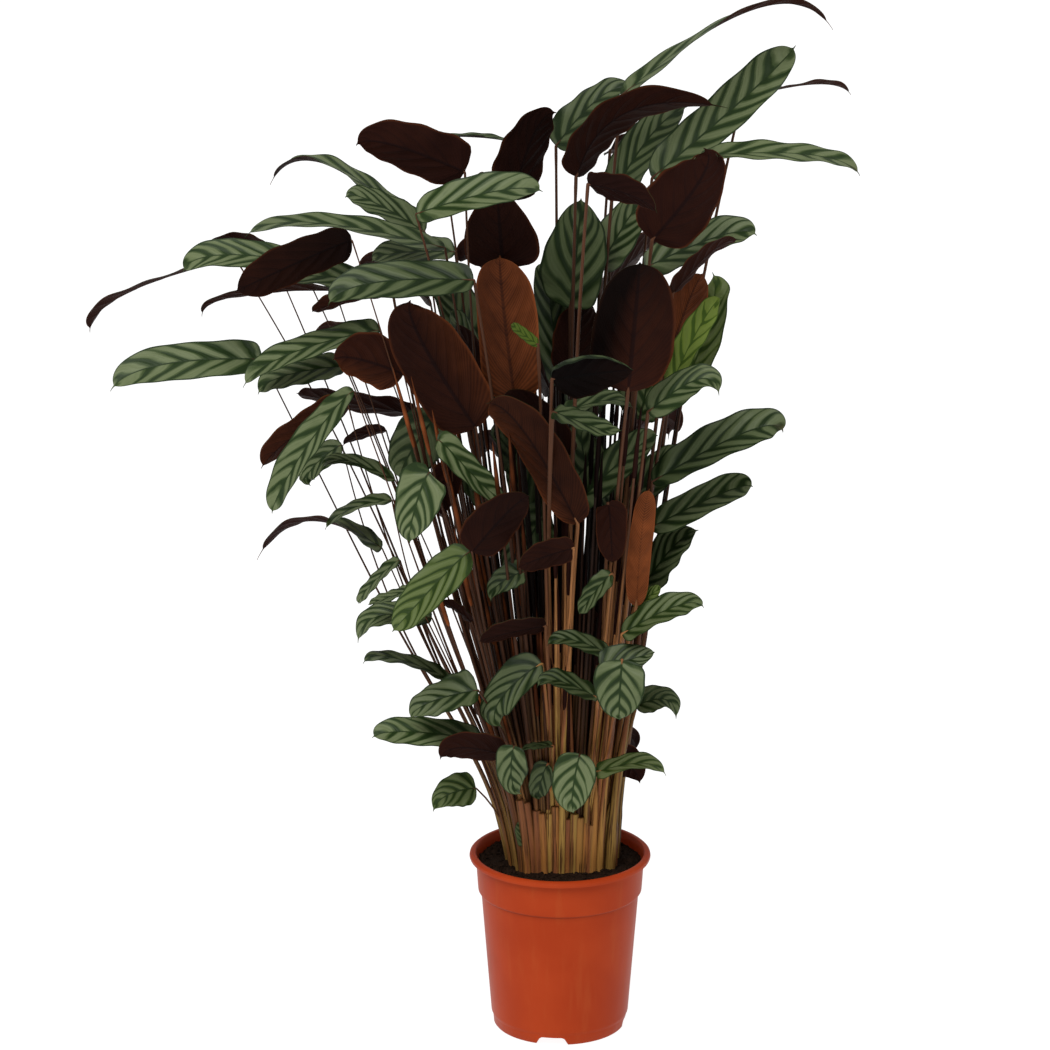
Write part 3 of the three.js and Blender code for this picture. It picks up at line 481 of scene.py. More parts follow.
class Leaf:
    """One leaf: its blade's curve and facing, and its stalk's path."""

    def __init__(self, index, row):
        base_x, base_y, mid_x, mid_y, tip_x, tip_y, layer, reach, width, face_base, face_tip = row
        foot_back = FEET["front"] + FEET["row_pitch"] * layer
        # The depth at the base follows from its height, which follows from its depth.
        base = on_grid(base_x, base_y, 0.0)
        for _ in range(SETTLE_STEPS):
            base = on_grid(base_x, base_y, foot_back * spread_back(base[2] - SOIL_LEVEL))
        self.index = index
        self.base = base
        self.middle = on_grid(mid_x, mid_y, base[1] + reach * MIDDLE_REACH)
        self.tip = on_grid(tip_x, tip_y, base[1] + reach)
        self.length = float(np.linalg.norm(self.tip - base))
        self.out = float(off_middle(self.middle))
        self.width = width
        self.ratio = width / self.length
        chance = random.Random(index * FORM_SEEDS[0] + FORM_SEEDS[1])
        self.veins = (VEINS_LEAST + self.length / VEIN_PITCH) * (1 + VEIN_CHANCE * either_way(chance))
        self.skew = 1 + SKEW * either_way(chance)
        self.uneven = [UNEVEN * either_way(chance) for _ in range(2)]
        self.ruffle = RUFFLE * (RUFFLE_LEAST + chance.random())
        self.face = (math.radians(face_base), math.radians(face_tip))
        self.height = base[2] - SOIL_LEVEL
        self.foot = foot_below(base, held)
        self.straight_foot = foot_below(base, straight)

    def set_curve(self):
        """The midrib leaves the stalk's end in its direction, turned by no more than the joint's bend."""
        before, end = self.path[-2], self.path[-1]
        stalk_end = unit(end - before)
        chord = self.middle - self.base
        axis = unit(np.cross(stalk_end, chord))
        turn = math.acos(max(-1.0, min(1.0, float(np.dot(stalk_end, unit(chord))))))
        start = turned(stalk_end, axis, min(turn, JOINT_BEND))
        first = self.base + start * np.linalg.norm(chord) * 2 * JOINT_HANDLE
        # The second handle makes the curve pass through the blade's middle halfway.
        second = (8 * self.middle - self.base - self.tip - 3 * first) / 3
        self.curve = (self.base, first, second, self.tip)

    def face_at(self, share):
        return self.face[0] + (self.face[1] - self.face[0]) * share


def petiole_path(shoot, leaf, shares):
    """A stalk leaves its shoot's line at the branching height and bends away to its leaf's own base."""
    path = []
    for share in shares:
        foot = shoot["foot"] + (leaf.foot - shoot["foot"]) * max(share, 0) ** BRANCH_SWING
        path.append(on_field(foot, leaf.branch + (leaf.height - leaf.branch) * share))
    return path


def stem_heights(shoot):
    """Heights of the peg's end, the sheath's top and the bare cane's foot."""
    sheath_top = min(SHEATH_HEIGHT, shoot["top"] * SHEATH_SHARE)
    cane_foot = min(sheath_top + SHEATH_COLLAR, shoot["top"] * COLLAR_SHARE)
    return [-PEG_DEPTH, sheath_top, cane_foot]


def feet():
    """Places of all feet in staggered rows, from the front row to the back one."""
    for row in range(FEET["rows"]):
        stagger = (row % 2) * FEET["pitch"] * 0.5
        for column in range(FEET["columns"]):
            across = FEET["left"] + FEET["pitch"] * column + stagger
            yield np.array([across, FEET["front"] + FEET["row_pitch"] * row])


def grow():
    """All shoots, numbered as the solids are, each with its leaves from the tallest down."""
    shoots = [{"foot": foot, "leaves": []} for foot in feet()]
    for index, row in enumerate(LEAVES):
        leaf = Leaf(index, row)
        distances = [np.linalg.norm(shoot["foot"] - leaf.straight_foot) for shoot in shoots]
        shoots[int(np.argmin(distances))]["leaves"].append(leaf)
    leafy = [shoot for shoot in shoots if shoot["leaves"]]
    for shoot in leafy:
        shoot["leaves"].sort(key=lambda leaf: -leaf.base[2])
        shoot["top"] = shoot["leaves"][0].height * BRANCH_AT[0]
        for order, leaf in enumerate(shoot["leaves"]):
            share = BRANCH_AT[order % len(BRANCH_AT)]
            leaf.branch = min(leaf.height * share, shoot["top"])
            leaf.order, leaf.stem = order, order == 0
            if leaf.stem:
                low = [on_field(shoot["foot"], height) for height in stem_heights(shoot)]
                leaf.path = low + petiole_path(shoot, leaf, [0, 0.5, 1])
            elif leaf.height - leaf.branch > LONG_STALK:
                leaf.path = petiole_path(shoot, leaf, [STALK_ROOT, 0.5, 1])
            else:
                leaf.path = petiole_path(shoot, leaf, [STALK_ROOT, 1])
            leaf.set_curve()
    return leafy


# ---- Meshes ----

def placed(name, data):
    """A new object with this data, at the origin."""
    made = bpy.data.objects.new(name, data)
    bpy.context.collection.objects.link(made)
    return made


def select_only(piece):
    bpy.ops.object.select_all(action="DESELECT")
    piece.select_set(True)
    bpy.context.view_layer.objects.active = piece


def smooth(piece, degrees):
    select_only(piece)
    bpy.ops.object.shade_smooth_by_angle(angle=math.radians(degrees))
    piece.select_set(False)


def circle(radius, count, start=0.0):
    """Places at even steps round the upright axis."""
    angles = [2 * math.pi * (j + start) / count for j in range(count)]
    return [(radius * math.cos(angle), radius * math.sin(angle)) for angle in angles]


def walls(start, rings, sides, flipped=False):
    """Faces between rings of points that follow each other."""
    faces = []
    for i in range(rings - 1):
        for j in range(sides):
            a, b = start + i * sides + j, start + i * sides + (j + 1) % sides
            faces.append((a, a + sides, b + sides, b) if flipped else (a, b, b + sides, a + sides))
    return faces


class Skin:
    """Gathers the points and faces of one piece, with a pattern place and a few tones at each point."""

    # The tone "deep" is painted shade.
    TONES = ("seed", "rust", "lime", "dry", "tone", "veins", "deep")
    RUST, DEEP = TONES.index("rust"), TONES.index("deep")

    def __init__(self):
        self.points, self.places, self.tones = [], [], []
        self.faces, self.slots = [], []
        self.count = 0

    def add(self, points, places, tones):
        start = self.count
        points = np.asarray(points, float).reshape(-1, 3)
        self.points.append(points)
        self.places.append(np.asarray(places, float).reshape(-1, 2))
        self.tones.append(np.asarray(tones, float))
        self.count += len(points)
        return start

    def cover(self, faces, slot):
        self.faces.extend(faces)
        self.slots.extend([slot] * len(faces))

    def build(self, name, materials, smooth_angle):
        points = np.concatenate(self.points) * MM
        mesh = bpy.data.meshes.new(name)
        mesh.from_pydata(points.tolist(), [], self.faces)
        for material in materials:
            mesh.materials.append(material)
        mesh.polygons.foreach_set("material_index", self.slots)
        places = np.concatenate(self.places)
        corners = np.zeros(len(mesh.loops), np.int32)
        mesh.loops.foreach_get("vertex_index", corners)
        layer = mesh.uv_layers.new(name="pattern")
        layer.data.foreach_set("uv", places[corners].astype(np.float32).ravel())
        tones = np.concatenate(self.tones).astype(np.float32)
        for column, tone in enumerate(self.TONES):
            attribute = mesh.attributes.new(tone, "FLOAT", "POINT")
            attribute.data.foreach_set("value", tones[:, column])
        mesh.validate()
        mesh.update()
        piece = placed(name, mesh)
        smooth(piece, smooth_angle)
        return piece


# ---- Blades ----

def outline(share, ratio):
    """Half width along a blade as a share of the greatest: round base, blunt or pointed tip, drip tail."""
    ovate = clamp((ratio - OBLONG_RATIO) / (OVATE_RATIO - OBLONG_RATIO))
    form = {key: OBLONG[key] + (OVATE[key] - OBLONG[key]) * ovate for key in OBLONG}
    body = np.clip(share / (1 - TAIL["share"]), 0, 1)
    low = np.clip(body / form["widest"], 0, 1)
    high = np.clip((body - form["widest"]) / (1 - form["widest"]), 0, 1)
    base = (1 - (1 - low) ** form["square"]) ** form["full"]
    tip = (1 - high ** form["taper"]) ** form["point"]
    tail = TAIL["half"] * np.clip((1 - share) / (TAIL["long"] * TAIL["share"]), 0, 1) ** TAIL["power"]
    return np.maximum(np.where(body < form["widest"], base, tip), np.where(share > TAIL["from"], tail, 0))


def blade_grid():
    """How far along a blade, and how far across it from edge to edge (-1 to 1), its points are."""
    even = np.linspace(0, 1, BLADE_ROWS + 1)
    eased = 0.5 - 0.5 * np.cos(math.pi * even)
    rows = FIRST_ROW + (1 - FIRST_ROW) * ((1 - ROW_EASE) * even + ROW_EASE * eased)
    columns = np.concatenate([-HALF_COLUMNS[:0:-1], HALF_COLUMNS])
    return np.meshgrid(rows, columns, indexing="ij")


def half_width(leaf, u, share):
    """Half the blade's width at each point, a little uneven from side to side."""
    side = np.sign(u)
    half = leaf.width / 2 * outline(share**leaf.skew, leaf.ratio)
    sway = np.sin(leaf.index + SWAYS * share + SIDE_PHASE * side)
    return half * (1 + side * leaf.uneven[0] + leaf.uneven[1] * sway)


def raised(leaf, v, u, share, half):
    """How far the blade's middle surface is above its flat form, in mm."""
    out = np.abs(u)
    left, right = np.sin(leaf.index + WAVES_LEFT * share), np.cos(leaf.index + WAVES_RIGHT * share)
    wave = np.where(u < 0, left, right)
    ruffle = np.sin(leaf.index * RUFFLE_SHIFT + RUFFLES * share + SIDE_PHASE * np.sign(u)) * out**3
    veins = np.cos(2 * math.pi * leaf.veins * v) * VEIN_RELIEF * np.minimum(1, half / RELIEF_HALF)
    veins = veins * np.clip(out / RELIEF_FROM, 0, 1) * (1 - out**4) * (1 - share**6)
    return half * (FOLD * out**FOLD_POWER + WAVE * wave * out**WAVE_POWER + leaf.ruffle * ruffle) + veins


def rolled(leaf, u, half):
    """Place across, drop and thinning of each point. A rolled edge turns over towards the underside."""
    out, side = np.abs(u), np.sign(u)
    on_roll = ROLL.get(leaf.index, 0) * side > 0
    turn = np.where(on_roll, np.clip((out - ROLL_START) / (1 - ROLL_START), 0, 1), 0) * ROLL_TURN
    radius = half * (1 - ROLL_START) / ROLL_TURN
    across = np.where(turn > 0, ROLL_START * half + radius * np.sin(turn), out * half) * side
    drop = np.where(turn > 0, radius * (1 - np.cos(turn)), 0)
    return across, drop, np.cos(turn)


def blade_tones(leaf, u, share, centre, tones):
    """The leaf's tones at each point of one side, with those that change over the blade."""
    tones = np.tile(np.asarray(tones, float), (u.size, 1))
    rusty = np.clip(u * RUSTY_SIDE.get(leaf.index, 0) - RUSTY_SIDE_FROM, 0, 1)
    tones[:, Skin.RUST] += RUSTY_SIDE_TONE * rusty.ravel()
    # Painted shade towards one side or the tip, and painted light on the blade's outer parts.
    deep = tones[:, Skin.DEEP] + SHADED_SIDE_TONE * np.clip(u * SHADED_SIDE.get(leaf.index, 0), 0, 1).ravel()
    deep += SHADED_TIP.get(leaf.index, 0) * share.ravel() ** SHADED_TIP_POWER
    deep -= OUTER_LIGHT * (off_middle(centre) - leaf.out).ravel()
    tones[:, Skin.DEEP] = np.clip(deep, 0, 1)
    return tones


def two_sides(skin, top, under, tall, wide):
    """Covers a grid of points above, the same grid underneath, and the rim between them."""
    corners = [i * wide + j for i in range(tall - 1) for j in range(wide - 1)]
    skin.cover([(top + a, top + a + 1, top + a + wide + 1, top + a + wide) for a in corners], UPPER)
    skin.cover([(under + a, under + a + wide, under + a + wide + 1, under + a + 1) for a in corners], UNDER)
    ring = list(range(wide)) + [i * wide + wide - 1 for i in range(1, tall)]
    ring += [(tall - 1) * wide + j for j in range(wide - 2, -1, -1)]
    ring += [i * wide for i in range(tall - 2, 0, -1)]
    skin.cover([(top + b, top + a, under + a, under + b) for a, b in zip(ring, ring[1:] + ring[:1])], UPPER)


def blade(skin, leaf, tones):
    """The blade's two sides and rim. Its rows run along the side veins, so the veins can be raised."""
    v, u = blade_grid()
    out = np.abs(u)
    sweep = min(SWEEP["most"], SWEEP["share"] * leaf.ratio)
    rise = 1 - (1 - np.clip(v / SWEEP["from"], 0, 1)) ** 2
    share = np.clip(v + sweep * out ** SWEEP["out"] * rise * (1 - v ** SWEEP["end"]), 0, 1)
    centre, along = bezier(leaf.curve, share)
    normal = facing(centre, along, leaf.face_at(share))
    half = half_width(leaf, u, share)
    across, drop, thinned = rolled(leaf, u, half)
    lift = raised(leaf, v, u, share, half)
    rib = np.clip(1 - out / RIB_SHARE, 0, 1) * np.minimum(1, half / RIB_HALF)
    thick = (THICK_MIDDLE + (THICK_EDGE - THICK_MIDDLE) * out) * thinned
    upper = lift + thick / 2 - RIB_GROOVE * rib - drop
    lower = lift - thick / 2 - drop - RIB_DEPTH * rib * (RIB_FADE - share)
    flat = centre + np.cross(along, normal) * across[..., None]
    places = np.stack([(u + 1) / 2, v], -1)
    tones = blade_tones(leaf, u, share, centre, tones)
    top = skin.add(flat + normal * upper[..., None], places, tones)
    under = skin.add(flat + normal * lower[..., None], places, tones)
    two_sides(skin, top, under, *u.shape)


# ---- Stalks ----

def girth(foot):
    """How stout a shoot's stalks are."""
    return float(np.interp(foot[0], [THIN_FROM, STOUT_FROM], [THIN, STOUT if foot[1] < MIDDLE_ROW else 1.0]))


def stalk_tones(foot, chance):
    """Redder to the left, with its bundle's painted light and shade."""
    red = clamp((RED_RIGHT - foot[0]) / (RED_RIGHT - RED_LEFT))
    deep = float(np.interp(foot[0], BUNDLES["across"], BUNDLES["deep"]))
    if foot[1] < MIDDLE_ROW and foot[0] > BUNDLES["pale_from"]:
        red -= BUNDLES["pale"] * max(0.0, 1 - deep / BUNDLES["pale_below"])
    return (chance.random(), red, 0.0, 0.0, chance.random(), STALK_VEINS, deep)


def inner_shade(points, normals):
    """Painted shade: how deep in the clump each point of a stalk's skin is, and how much it is turned to the
    middle.
    """
    height = points[:, 2] - SOIL_LEVEL
    across = points[:, 0] / (CLUMP["across"] * spread_across(held(height)))
    back = points[:, 1] / (CLUMP["back"] * spread_back(height))
    place = np.stack([across, back], -1)
    far = np.linalg.norm(place, axis=-1)
    inwards = -(normals[:, :2] * place).sum(-1) / np.maximum(far, CLUMP["core"])
    return np.clip(CLUMP["edge"] - far, 0, 1) + CLUMP["turned"] * np.clip(inwards, 0, 1)


def tube(skin, path, radii, sides, tones, slot, flute=0.0, start_turn=0.0, crease=PRESSED_SHADE):
    """A closed tube along a path. Its pattern place is the mirrored turn and the length so far in metres."""
    path = np.asarray(path, float)
    steps = np.linalg.norm(np.diff(path, axis=0), axis=1)
    run = np.concatenate([[0], np.cumsum(steps)])
    direction = unit(np.gradient(path, run, axis=0))
    side = unit(np.cross(direction[0], TUBE_START))
    turn = np.linspace(0, 2 * math.pi, sides, endpoint=False) + start_turn
    mirrored = np.abs((turn - start_turn) / math.pi - 1)
    flutes = flute * np.cos(FLUTES * turn)
    places, rings = [], []
    for i, along in enumerate(direction):
        side = unit(side - along * np.dot(side, along))
        other = np.cross(along, side)
        radius = radii[i] * (1 + flutes + SLOW_FLUTE * flute * np.cos(2 * turn + run[i] / FLUTE_TWIST))
        rings.append(path[i] + np.outer(radius * np.cos(turn), side) + np.outer(radius * np.sin(turn), other))
        places.append(np.stack([mirrored, np.full(sides, run[i] * MM)], -1))
    points = np.concatenate(rings)
    normals = unit(points - np.repeat(path, sides, axis=0))
    # Painted shade: where stalks press together, deep in the clump and on sides turned to its middle, and
    # less towards the open top.
    pressed = crease * np.abs(normals[:, 0]) ** PRESSED_SHADE_POWER
    tones = np.tile(np.asarray(tones, float), (len(points), 1))
    tones[:, Skin.DEEP] = np.clip(tones[:, Skin.DEEP] + inner_shade(points, normals) + pressed, 0, 1)
    tones[:, Skin.DEEP] *= np.interp(points[:, 2] - SOIL_LEVEL, OPEN["heights"], OPEN["shade"])
    start = skin.add(points, np.concatenate(places), tones)
    last = start + (len(path) - 1) * sides
    faces = walls(start, len(path), sides)
    faces.append(tuple(reversed(range(start, start + sides))))
    faces.append(tuple(range(last, last + sides)))
    skin.cover(faces, slot)


def rings_over(length, kind):
    return max(FEWEST_RINGS[kind], int(length / RING_STEP))


def stem_line(shoot, leaf, shares):
    """The stem from its peg through its sheath, and its tallest leaf's stalk, with the radii."""
    foot, top = shoot["foot"], shoot["top"]
    peg, sheath_top, cane_foot = stem_heights(shoot)
    heights = np.concatenate([
        [peg, PEG_SHOULDER],
        np.linspace(0, sheath_top - SHEATH_LIP, SHEATH_RINGS),
        [sheath_top, (sheath_top + cane_foot) / 2, cane_foot],
        np.linspace(cane_foot, top, rings_over(top - cane_foot, "stem") + 1)[1:],
    ])
    sheathed = cane_foot + (top - cane_foot) * SHEATHED_SHARE
    radii = np.interp(heights, [peg, sheath_top, cane_foot, sheathed, top], FINE_STEM_RADII[:5]).tolist()
    radii += np.interp(shares[1:], [0, 0.5, 1], FINE_STEM_RADII[4:]).tolist()
    points = [on_field(foot, height) for height in heights]
    return points + petiole_path(shoot, leaf, shares)[1:], radii


def side_line(shoot, leaf, shares):
    """A side stalk with its radii. Below its branching height it runs down beside the stem, as its sheath
    does on the plant."""
    foot = shoot["foot"]
    turn = leaf.order * SIDE_TURN + foot[0]
    beside = np.array([math.cos(turn), math.sin(turn), 0]) * SIDE_OFFSET * (1 + SIDE_SPACING * leaf.order)
    beside = beside * min(1.0, girth(foot))
    heights = np.linspace(SIDE_DEPTH, leaf.branch, rings_over(leaf.branch, "side") + 1)[:-1]
    fade = np.clip(1 - shares / SIDE_FADE, 0, 1) ** SIDE_FADE_POWER
    points = [on_field(foot, height) + beside for height in heights]
    points += [point + beside * share for point, share in zip(petiole_path(shoot, leaf, shares), fade)]
    root, branch, middle, end = FINE_PETIOLE_RADII
    radii = np.interp(heights, [0, leaf.branch + 1], [root, branch]).tolist()
    if len(leaf.path) > 2:
        radii += np.interp(shares, [0, 0.5, 1], [branch, middle, end]).tolist()
    else:
        radii += np.interp(shares, [0, 1], [branch, end]).tolist()
    return points, radii


def stalk_line(shoot, leaf):
    """The stalk's line with its radii, from its root to a little way along the midrib."""
    shares = np.linspace(0, 1, rings_over(leaf.height - leaf.branch, "stalk") + 1)
    points, radii = (stem_line if leaf.stem else side_line)(shoot, leaf, shares)
    radii[-2:] = [radius * JOINT_SWELL for radius in radii[-2:]]
    ribs, _ = bezier(leaf.curve, RIB_RUN)
    before = points[-2] * JOINT_LENGTH + points[-1] * (1 - JOINT_LENGTH)
    # The corner between the stalk and the midrib is rounded.
    corner = points[-1] * 0.5 + before * 0.25 + ribs[0] * 0.25
    points = points[:-1] + [before, corner] + list(ribs)
    radii = radii + [radii[-1]] + RIB_RADII
    return points, np.array(radii) * girth(shoot["foot"])


def stubs(skin, shoot, chance):
    """Old sheaths with uneven tops, pressed against the front of a front stem."""
    foot = shoot["foot"]
    if not STUBS["left"] < foot[0] < STUBS["right"] or foot[1] > STUBS["back"]:
        return
    for place in (-0.5, 0.5):
        top = np.interp(foot[0], [STUBS["left"], STUBS["right"]], [STUBS["tall"], STUBS["short"]])
        top += STUBS["uneven"] * either_way(chance)
        forward = STUBS["out"] + chance.uniform(-STUBS["scatter"], STUBS["scatter"])
        beside = np.array([STUBS["pitch"] * place, -forward, 0])
        bends = [top - below for below in STUB_ROUNDING["below"]]
        heights = np.append(np.linspace(BURIED, bends[0], STUB_ROUNDING["rings"]), bends[1:])
        points = [on_field(foot, height) + beside for height in heights]
        radii = STUBS["radius"] * np.interp(heights, [0] + bends, STUB_ROUNDING["shares"])
        seed, red, *_ = stalk_tones(foot, chance)
        tone = STUBS["least_tone"] + (1 - STUBS["least_tone"]) * chance.random()
        # A stub has a little painted shade, and more at its sides, where it presses on the next.
        tones = (seed, max(red, 0) * STUBS["red"], 0.0, 0.0, tone, STALK_VEINS, STUBS["deep"])
        start_turn = MOST_TURN * chance.random()
        tube(skin, points, radii, STEM_SIDES, tones, STALK, STUB_FLUTE, start_turn, STUB_PRESSED_SHADE)


def spears(skin, shoot, chance):
    """Thin stalks that end in a young leaf, still rolled."""
    scatter = SPEARS["scatter"]
    for _ in range(SPEARS["each"]):
        foot = shoot["foot"] + np.array([chance.uniform(-scatter, scatter) for _ in range(2)])
        end = chance.uniform(SPEARS["least"], SPEARS["most"])
        tip = end + SPEARS["blade"] * chance.uniform(*SPEAR_LENGTHS)
        if not SPEARS["left"] < foot[0] < SPEARS["right"]:
            continue
        tones = stalk_tones(foot, chance)
        heights = np.linspace(BURIED, end, max(FEWEST_RINGS["spear"], int(end / SPEARS["ring_step"])))
        points = [on_field(foot, height) for height in heights]
        radii = np.interp(heights, [0, end], [SPEARS["foot"], SPEARS["neck"]])
        tube(skin, points, radii, PETIOLE_SIDES, tones, STALK)
        heights = np.linspace(end - SPEARS["overlap"], tip, SPEARS["rings"])
        points = [on_field(foot, height) for height in heights]
        shares = np.linspace(0, 1, SPEARS["rings"])
        swell = np.sin(math.pi * shares ** SPEAR_FORM["early"]) ** SPEAR_FORM["full"] + SPEAR_FORM["least"]
        tube(skin, points, SPEARS["radius"] * swell, PETIOLE_SIDES, tones, UNDER)


def leaf_tones(leaf, chance):
    """The tones that one leaf has all over, in the order that a skin names them."""
    seed = chance.random()
    rust = RUST.get(leaf.index, LEAST_RUST + RUST_RANGE * chance.random())
    # Painted shade: more near the clump's middle, partly by chance.
    deep = clamp(SHADE_MIDDLE - SHADE_FALL * leaf.out) * (1 - SHADE_CHANCE + SHADE_CHANCE * chance.random())
    lime, dry = LIME.get(leaf.index, 0.0), DRY_TIP.get(leaf.index, 0.0)
    return (seed, rust, lime, dry, chance.random(), leaf.veins, DEEP.get(leaf.index, deep))


def shoot_piece(shoot, number, materials):
    """One shoot with its stem, stalks and blades."""
    skin = Skin()
    chance = random.Random(number)
    stubs(skin, shoot, chance)
    spears(skin, shoot, chance)
    for leaf in shoot["leaves"]:
        chance = random.Random(leaf.index * TONE_SEEDS[0] + TONE_SEEDS[1])
        tones = leaf_tones(leaf, chance)
        blade(skin, leaf, tones)
        points, radii = stalk_line(shoot, leaf)
        stalk = stalk_tones(shoot["foot"], chance)
        if leaf.stem:
            tube(skin, points, radii, STEM_SIDES, stalk, STALK, STEM_FLUTE, tones[0] * MOST_TURN)
        else:
            tube(skin, points, radii, PETIOLE_SIDES, stalk, STALK)
    piece = skin.build(f"foliage_{number:02d}", materials, SMOOTH_SHOOT)
    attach(piece, "root")
    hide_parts(f"shoot_{number:02d}")


# ---- Finishes ----

# The finishes give every length in metres. The shares of a blade's pattern go from 0 to 1.

class Finish:
    """The node tree of one material, written as short calls that give sockets."""

    def __init__(self, name, roughness, specular):
        self.material = bpy.data.materials.new(name)
        self.material.use_nodes = True
        self.tree = self.material.node_tree
        self.shader = self.tree.nodes["Principled BSDF"]
        self.shader.inputs["Roughness"].default_value = roughness
        self.shader.inputs["Specular IOR Level"].default_value = specular

    def node(self, kind, inputs=None, **settings):
        made = self.tree.nodes.new(kind)
        for key, value in settings.items():
            setattr(made, key, value)
        for key, value in (inputs or {}).items():
            self.put(made.inputs[key], value)
        return made

    def put(self, socket, value):
        if isinstance(value, bpy.types.NodeSocket):
            self.tree.links.new(value, socket)
        elif socket.type == "RGBA":
            socket.default_value = tuple(value)[:3] + (1.0,)
        else:
            socket.default_value = value

    def math(self, operation, *values, clamp=False):
        node = self.node("ShaderNodeMath", dict(enumerate(values)), operation=operation, use_clamp=clamp)
        return node.outputs[0]

    def times(self, a, b):
        return self.math("MULTIPLY", a, b)

    def times_plus(self, a, b, c):
        return self.math("MULTIPLY_ADD", a, b, c)

    def greatest(self, first, *others):
        for other in others:
            first = self.math("MAXIMUM", first, other)
        return first

    def from_middle(self, share):
        """0 in the middle of a share and 1 at both of its ends."""
        return self.math("ABSOLUTE", self.times_plus(share, 2.0, -1.0))

    def step(self, value, low, high, bottom=0.0, top=1.0):
        """A smooth step from bottom to top as the value goes from low to high."""
        node = self.node("ShaderNodeMapRange", {
            "Value": value, "From Min": low, "From Max": high, "To Min": bottom, "To Max": top,
        }, interpolation_type="SMOOTHSTEP")
        return node.outputs["Result"]

    def mix(self, factor, a, b, kind="MIX"):
        node = self.node("ShaderNodeMix", data_type="RGBA", blend_type=kind)
        for key, value in zip(("Factor_Float", "A_Color", "B_Color"), (factor, a, b)):
            self.put(next(socket for socket in node.inputs if socket.identifier == key), value)
        return next(socket for socket in node.outputs if socket.identifier == "Result_Color")

    def pattern_place(self):
        """How far across and along its own pattern a point is."""
        uv = self.node("ShaderNodeUVMap", uv_map="pattern").outputs["UV"]
        across, along, _ = self.split(uv)
        return across, along

    def solid_place(self):
        return self.node("ShaderNodeTexCoord").outputs["Object"]

    def tone(self, name):
        return self.node("ShaderNodeAttribute", attribute_name=name).outputs["Fac"]

    def split(self, vector):
        return tuple(self.node("ShaderNodeSeparateXYZ", {"Vector": vector}).outputs)

    def vector(self, x, y, z):
        return self.node("ShaderNodeCombineXYZ", {"X": x, "Y": y, "Z": z}).outputs["Vector"]

    def stretched(self, *axes):
        """A place made of three values, each with its own scale."""
        return self.vector(*(self.times(value, scale) for value, scale in axes))

    def lot(self, x, y, z):
        """A chance number for each place."""
        node = self.node("ShaderNodeTexWhiteNoise", {"Vector": self.vector(x, y, z)}, noise_dimensions="3D")
        return node.outputs["Value"]

    def noise(self, vector, scale, detail=2.0, roughness=0.5):
        node = self.node("ShaderNodeTexNoise", {
            "Vector": vector, "Scale": scale, "Detail": detail, "Roughness": roughness,
        })
        return node.outputs["Fac"]

    def bump(self, height, strength, distance):
        node = self.node("ShaderNodeBump", {"Height": height, "Strength": strength, "Distance": distance})
        self.put(self.shader.inputs["Normal"], node.outputs["Normal"])

    def colour(self, socket):
        self.put(self.shader.inputs["Base Color"], socket)

    def roughness(self, socket):
        self.put(self.shader.inputs["Roughness"], socket)


def leaf_upper_finish(colours):
    """Silver-green with dark green bars along the side veins, a dark midrib line and a dark margin."""
    f = Finish("leaf_upper", 0.45, 0.16)
    across, along = f.pattern_place()
    seed, lime = f.tone("seed"), f.tone("lime")
    out = f.from_middle(across)
    side = f.math("GREATER_THAN", across, 0.5)
    wander = f.noise(f.stretched((across, 2.5), (along, 5.0), (seed, 40.0)), 1.0, 1.0)

    # The phase counts the bars along the blade, and is set off between its two halves.
    even = f.math("SUBTRACT", along, f.step(along, 0.7, 1.0, 0.0, 0.1))
    phase = f.times_plus(even, f.tone("veins"), f.times(side, 0.22))
    phase = f.math("ADD", phase, f.times_plus(wander, 0.7, seed))
    lot = f.lot(f.math("FLOOR", phase), side, f.times(seed, 99.0))

    # Each bar tapers to an end of its own. It is thickest at the midrib and fades at the blade's tip.
    taper = f.math("DIVIDE", out, f.times_plus(lot, 1.5, 0.45))
    taper = f.math("SUBTRACT", 1.0, f.times(taper, taper), clamp=True)
    taper = f.math("POWER", taper, 0.5)
    knot = f.step(out, 0.0, 0.22, 0.12, 0.0)
    half_bar = f.times(taper, f.math("ADD", knot, f.times_plus(lot, 0.14, 0.24)))
    edge = f.math("SUBTRACT", f.from_middle(f.math("FRACT", phase)), half_bar)
    bar = f.times(f.step(edge, -0.1, 0.06, 1.0, 0.0), f.step(along, 0.86, 0.95, 1.0, 0.25))

    rib = f.step(out, f.times_plus(along, -0.02, 0.03), 0.06, 1.0, 0.0)
    margin = f.step(f.times_plus(wander, 0.05, out), 0.93, 0.985)
    tip = f.step(f.times_plus(wander, 0.05, along), 0.965, 0.995)
    foot = f.step(along, 0.01, 0.05, 1.0, 0.0)
    dark = f.greatest(bar, rib, margin, tip, foot)

    threads = f.math("SINE", f.times(phase, 2 * math.pi * 5))
    cloud = f.noise(f.solid_place(), 60.0, 3.0)
    silver = f.times(f.step(edge, 0.02, 0.42), f.step(cloud, 0.1, 0.5, 0.6, 1.0))
    band = f.mix(f.times_plus(threads, 0.1, silver), colours.band_shade, colours.band)
    band = f.mix(lime, band, colours.lime_band)
    bars = f.mix(lime, f.mix(cloud, colours.bar, colours.bar_light), colours.lime_bar)
    green = f.mix(dark, band, bars)
    # Darker a little at random by tone, and by painted shade from "deep".
    green = f.mix(f.times(f.tone("tone"), 0.25), green, colours.band_tone_and_painted_shade, "MULTIPLY")
    green = f.mix(f.tone("deep"), green, colours.band_tone_and_painted_shade, "MULTIPLY")
    dried = f.times(f.tone("dry"), f.step(f.times_plus(cloud, 0.3, along), 0.98, 1.1))
    f.colour(f.mix(dried, green, colours.dry))
    f.bump(f.times_plus(threads, 0.35, cloud), 0.22, 0.0006)
    return f.material


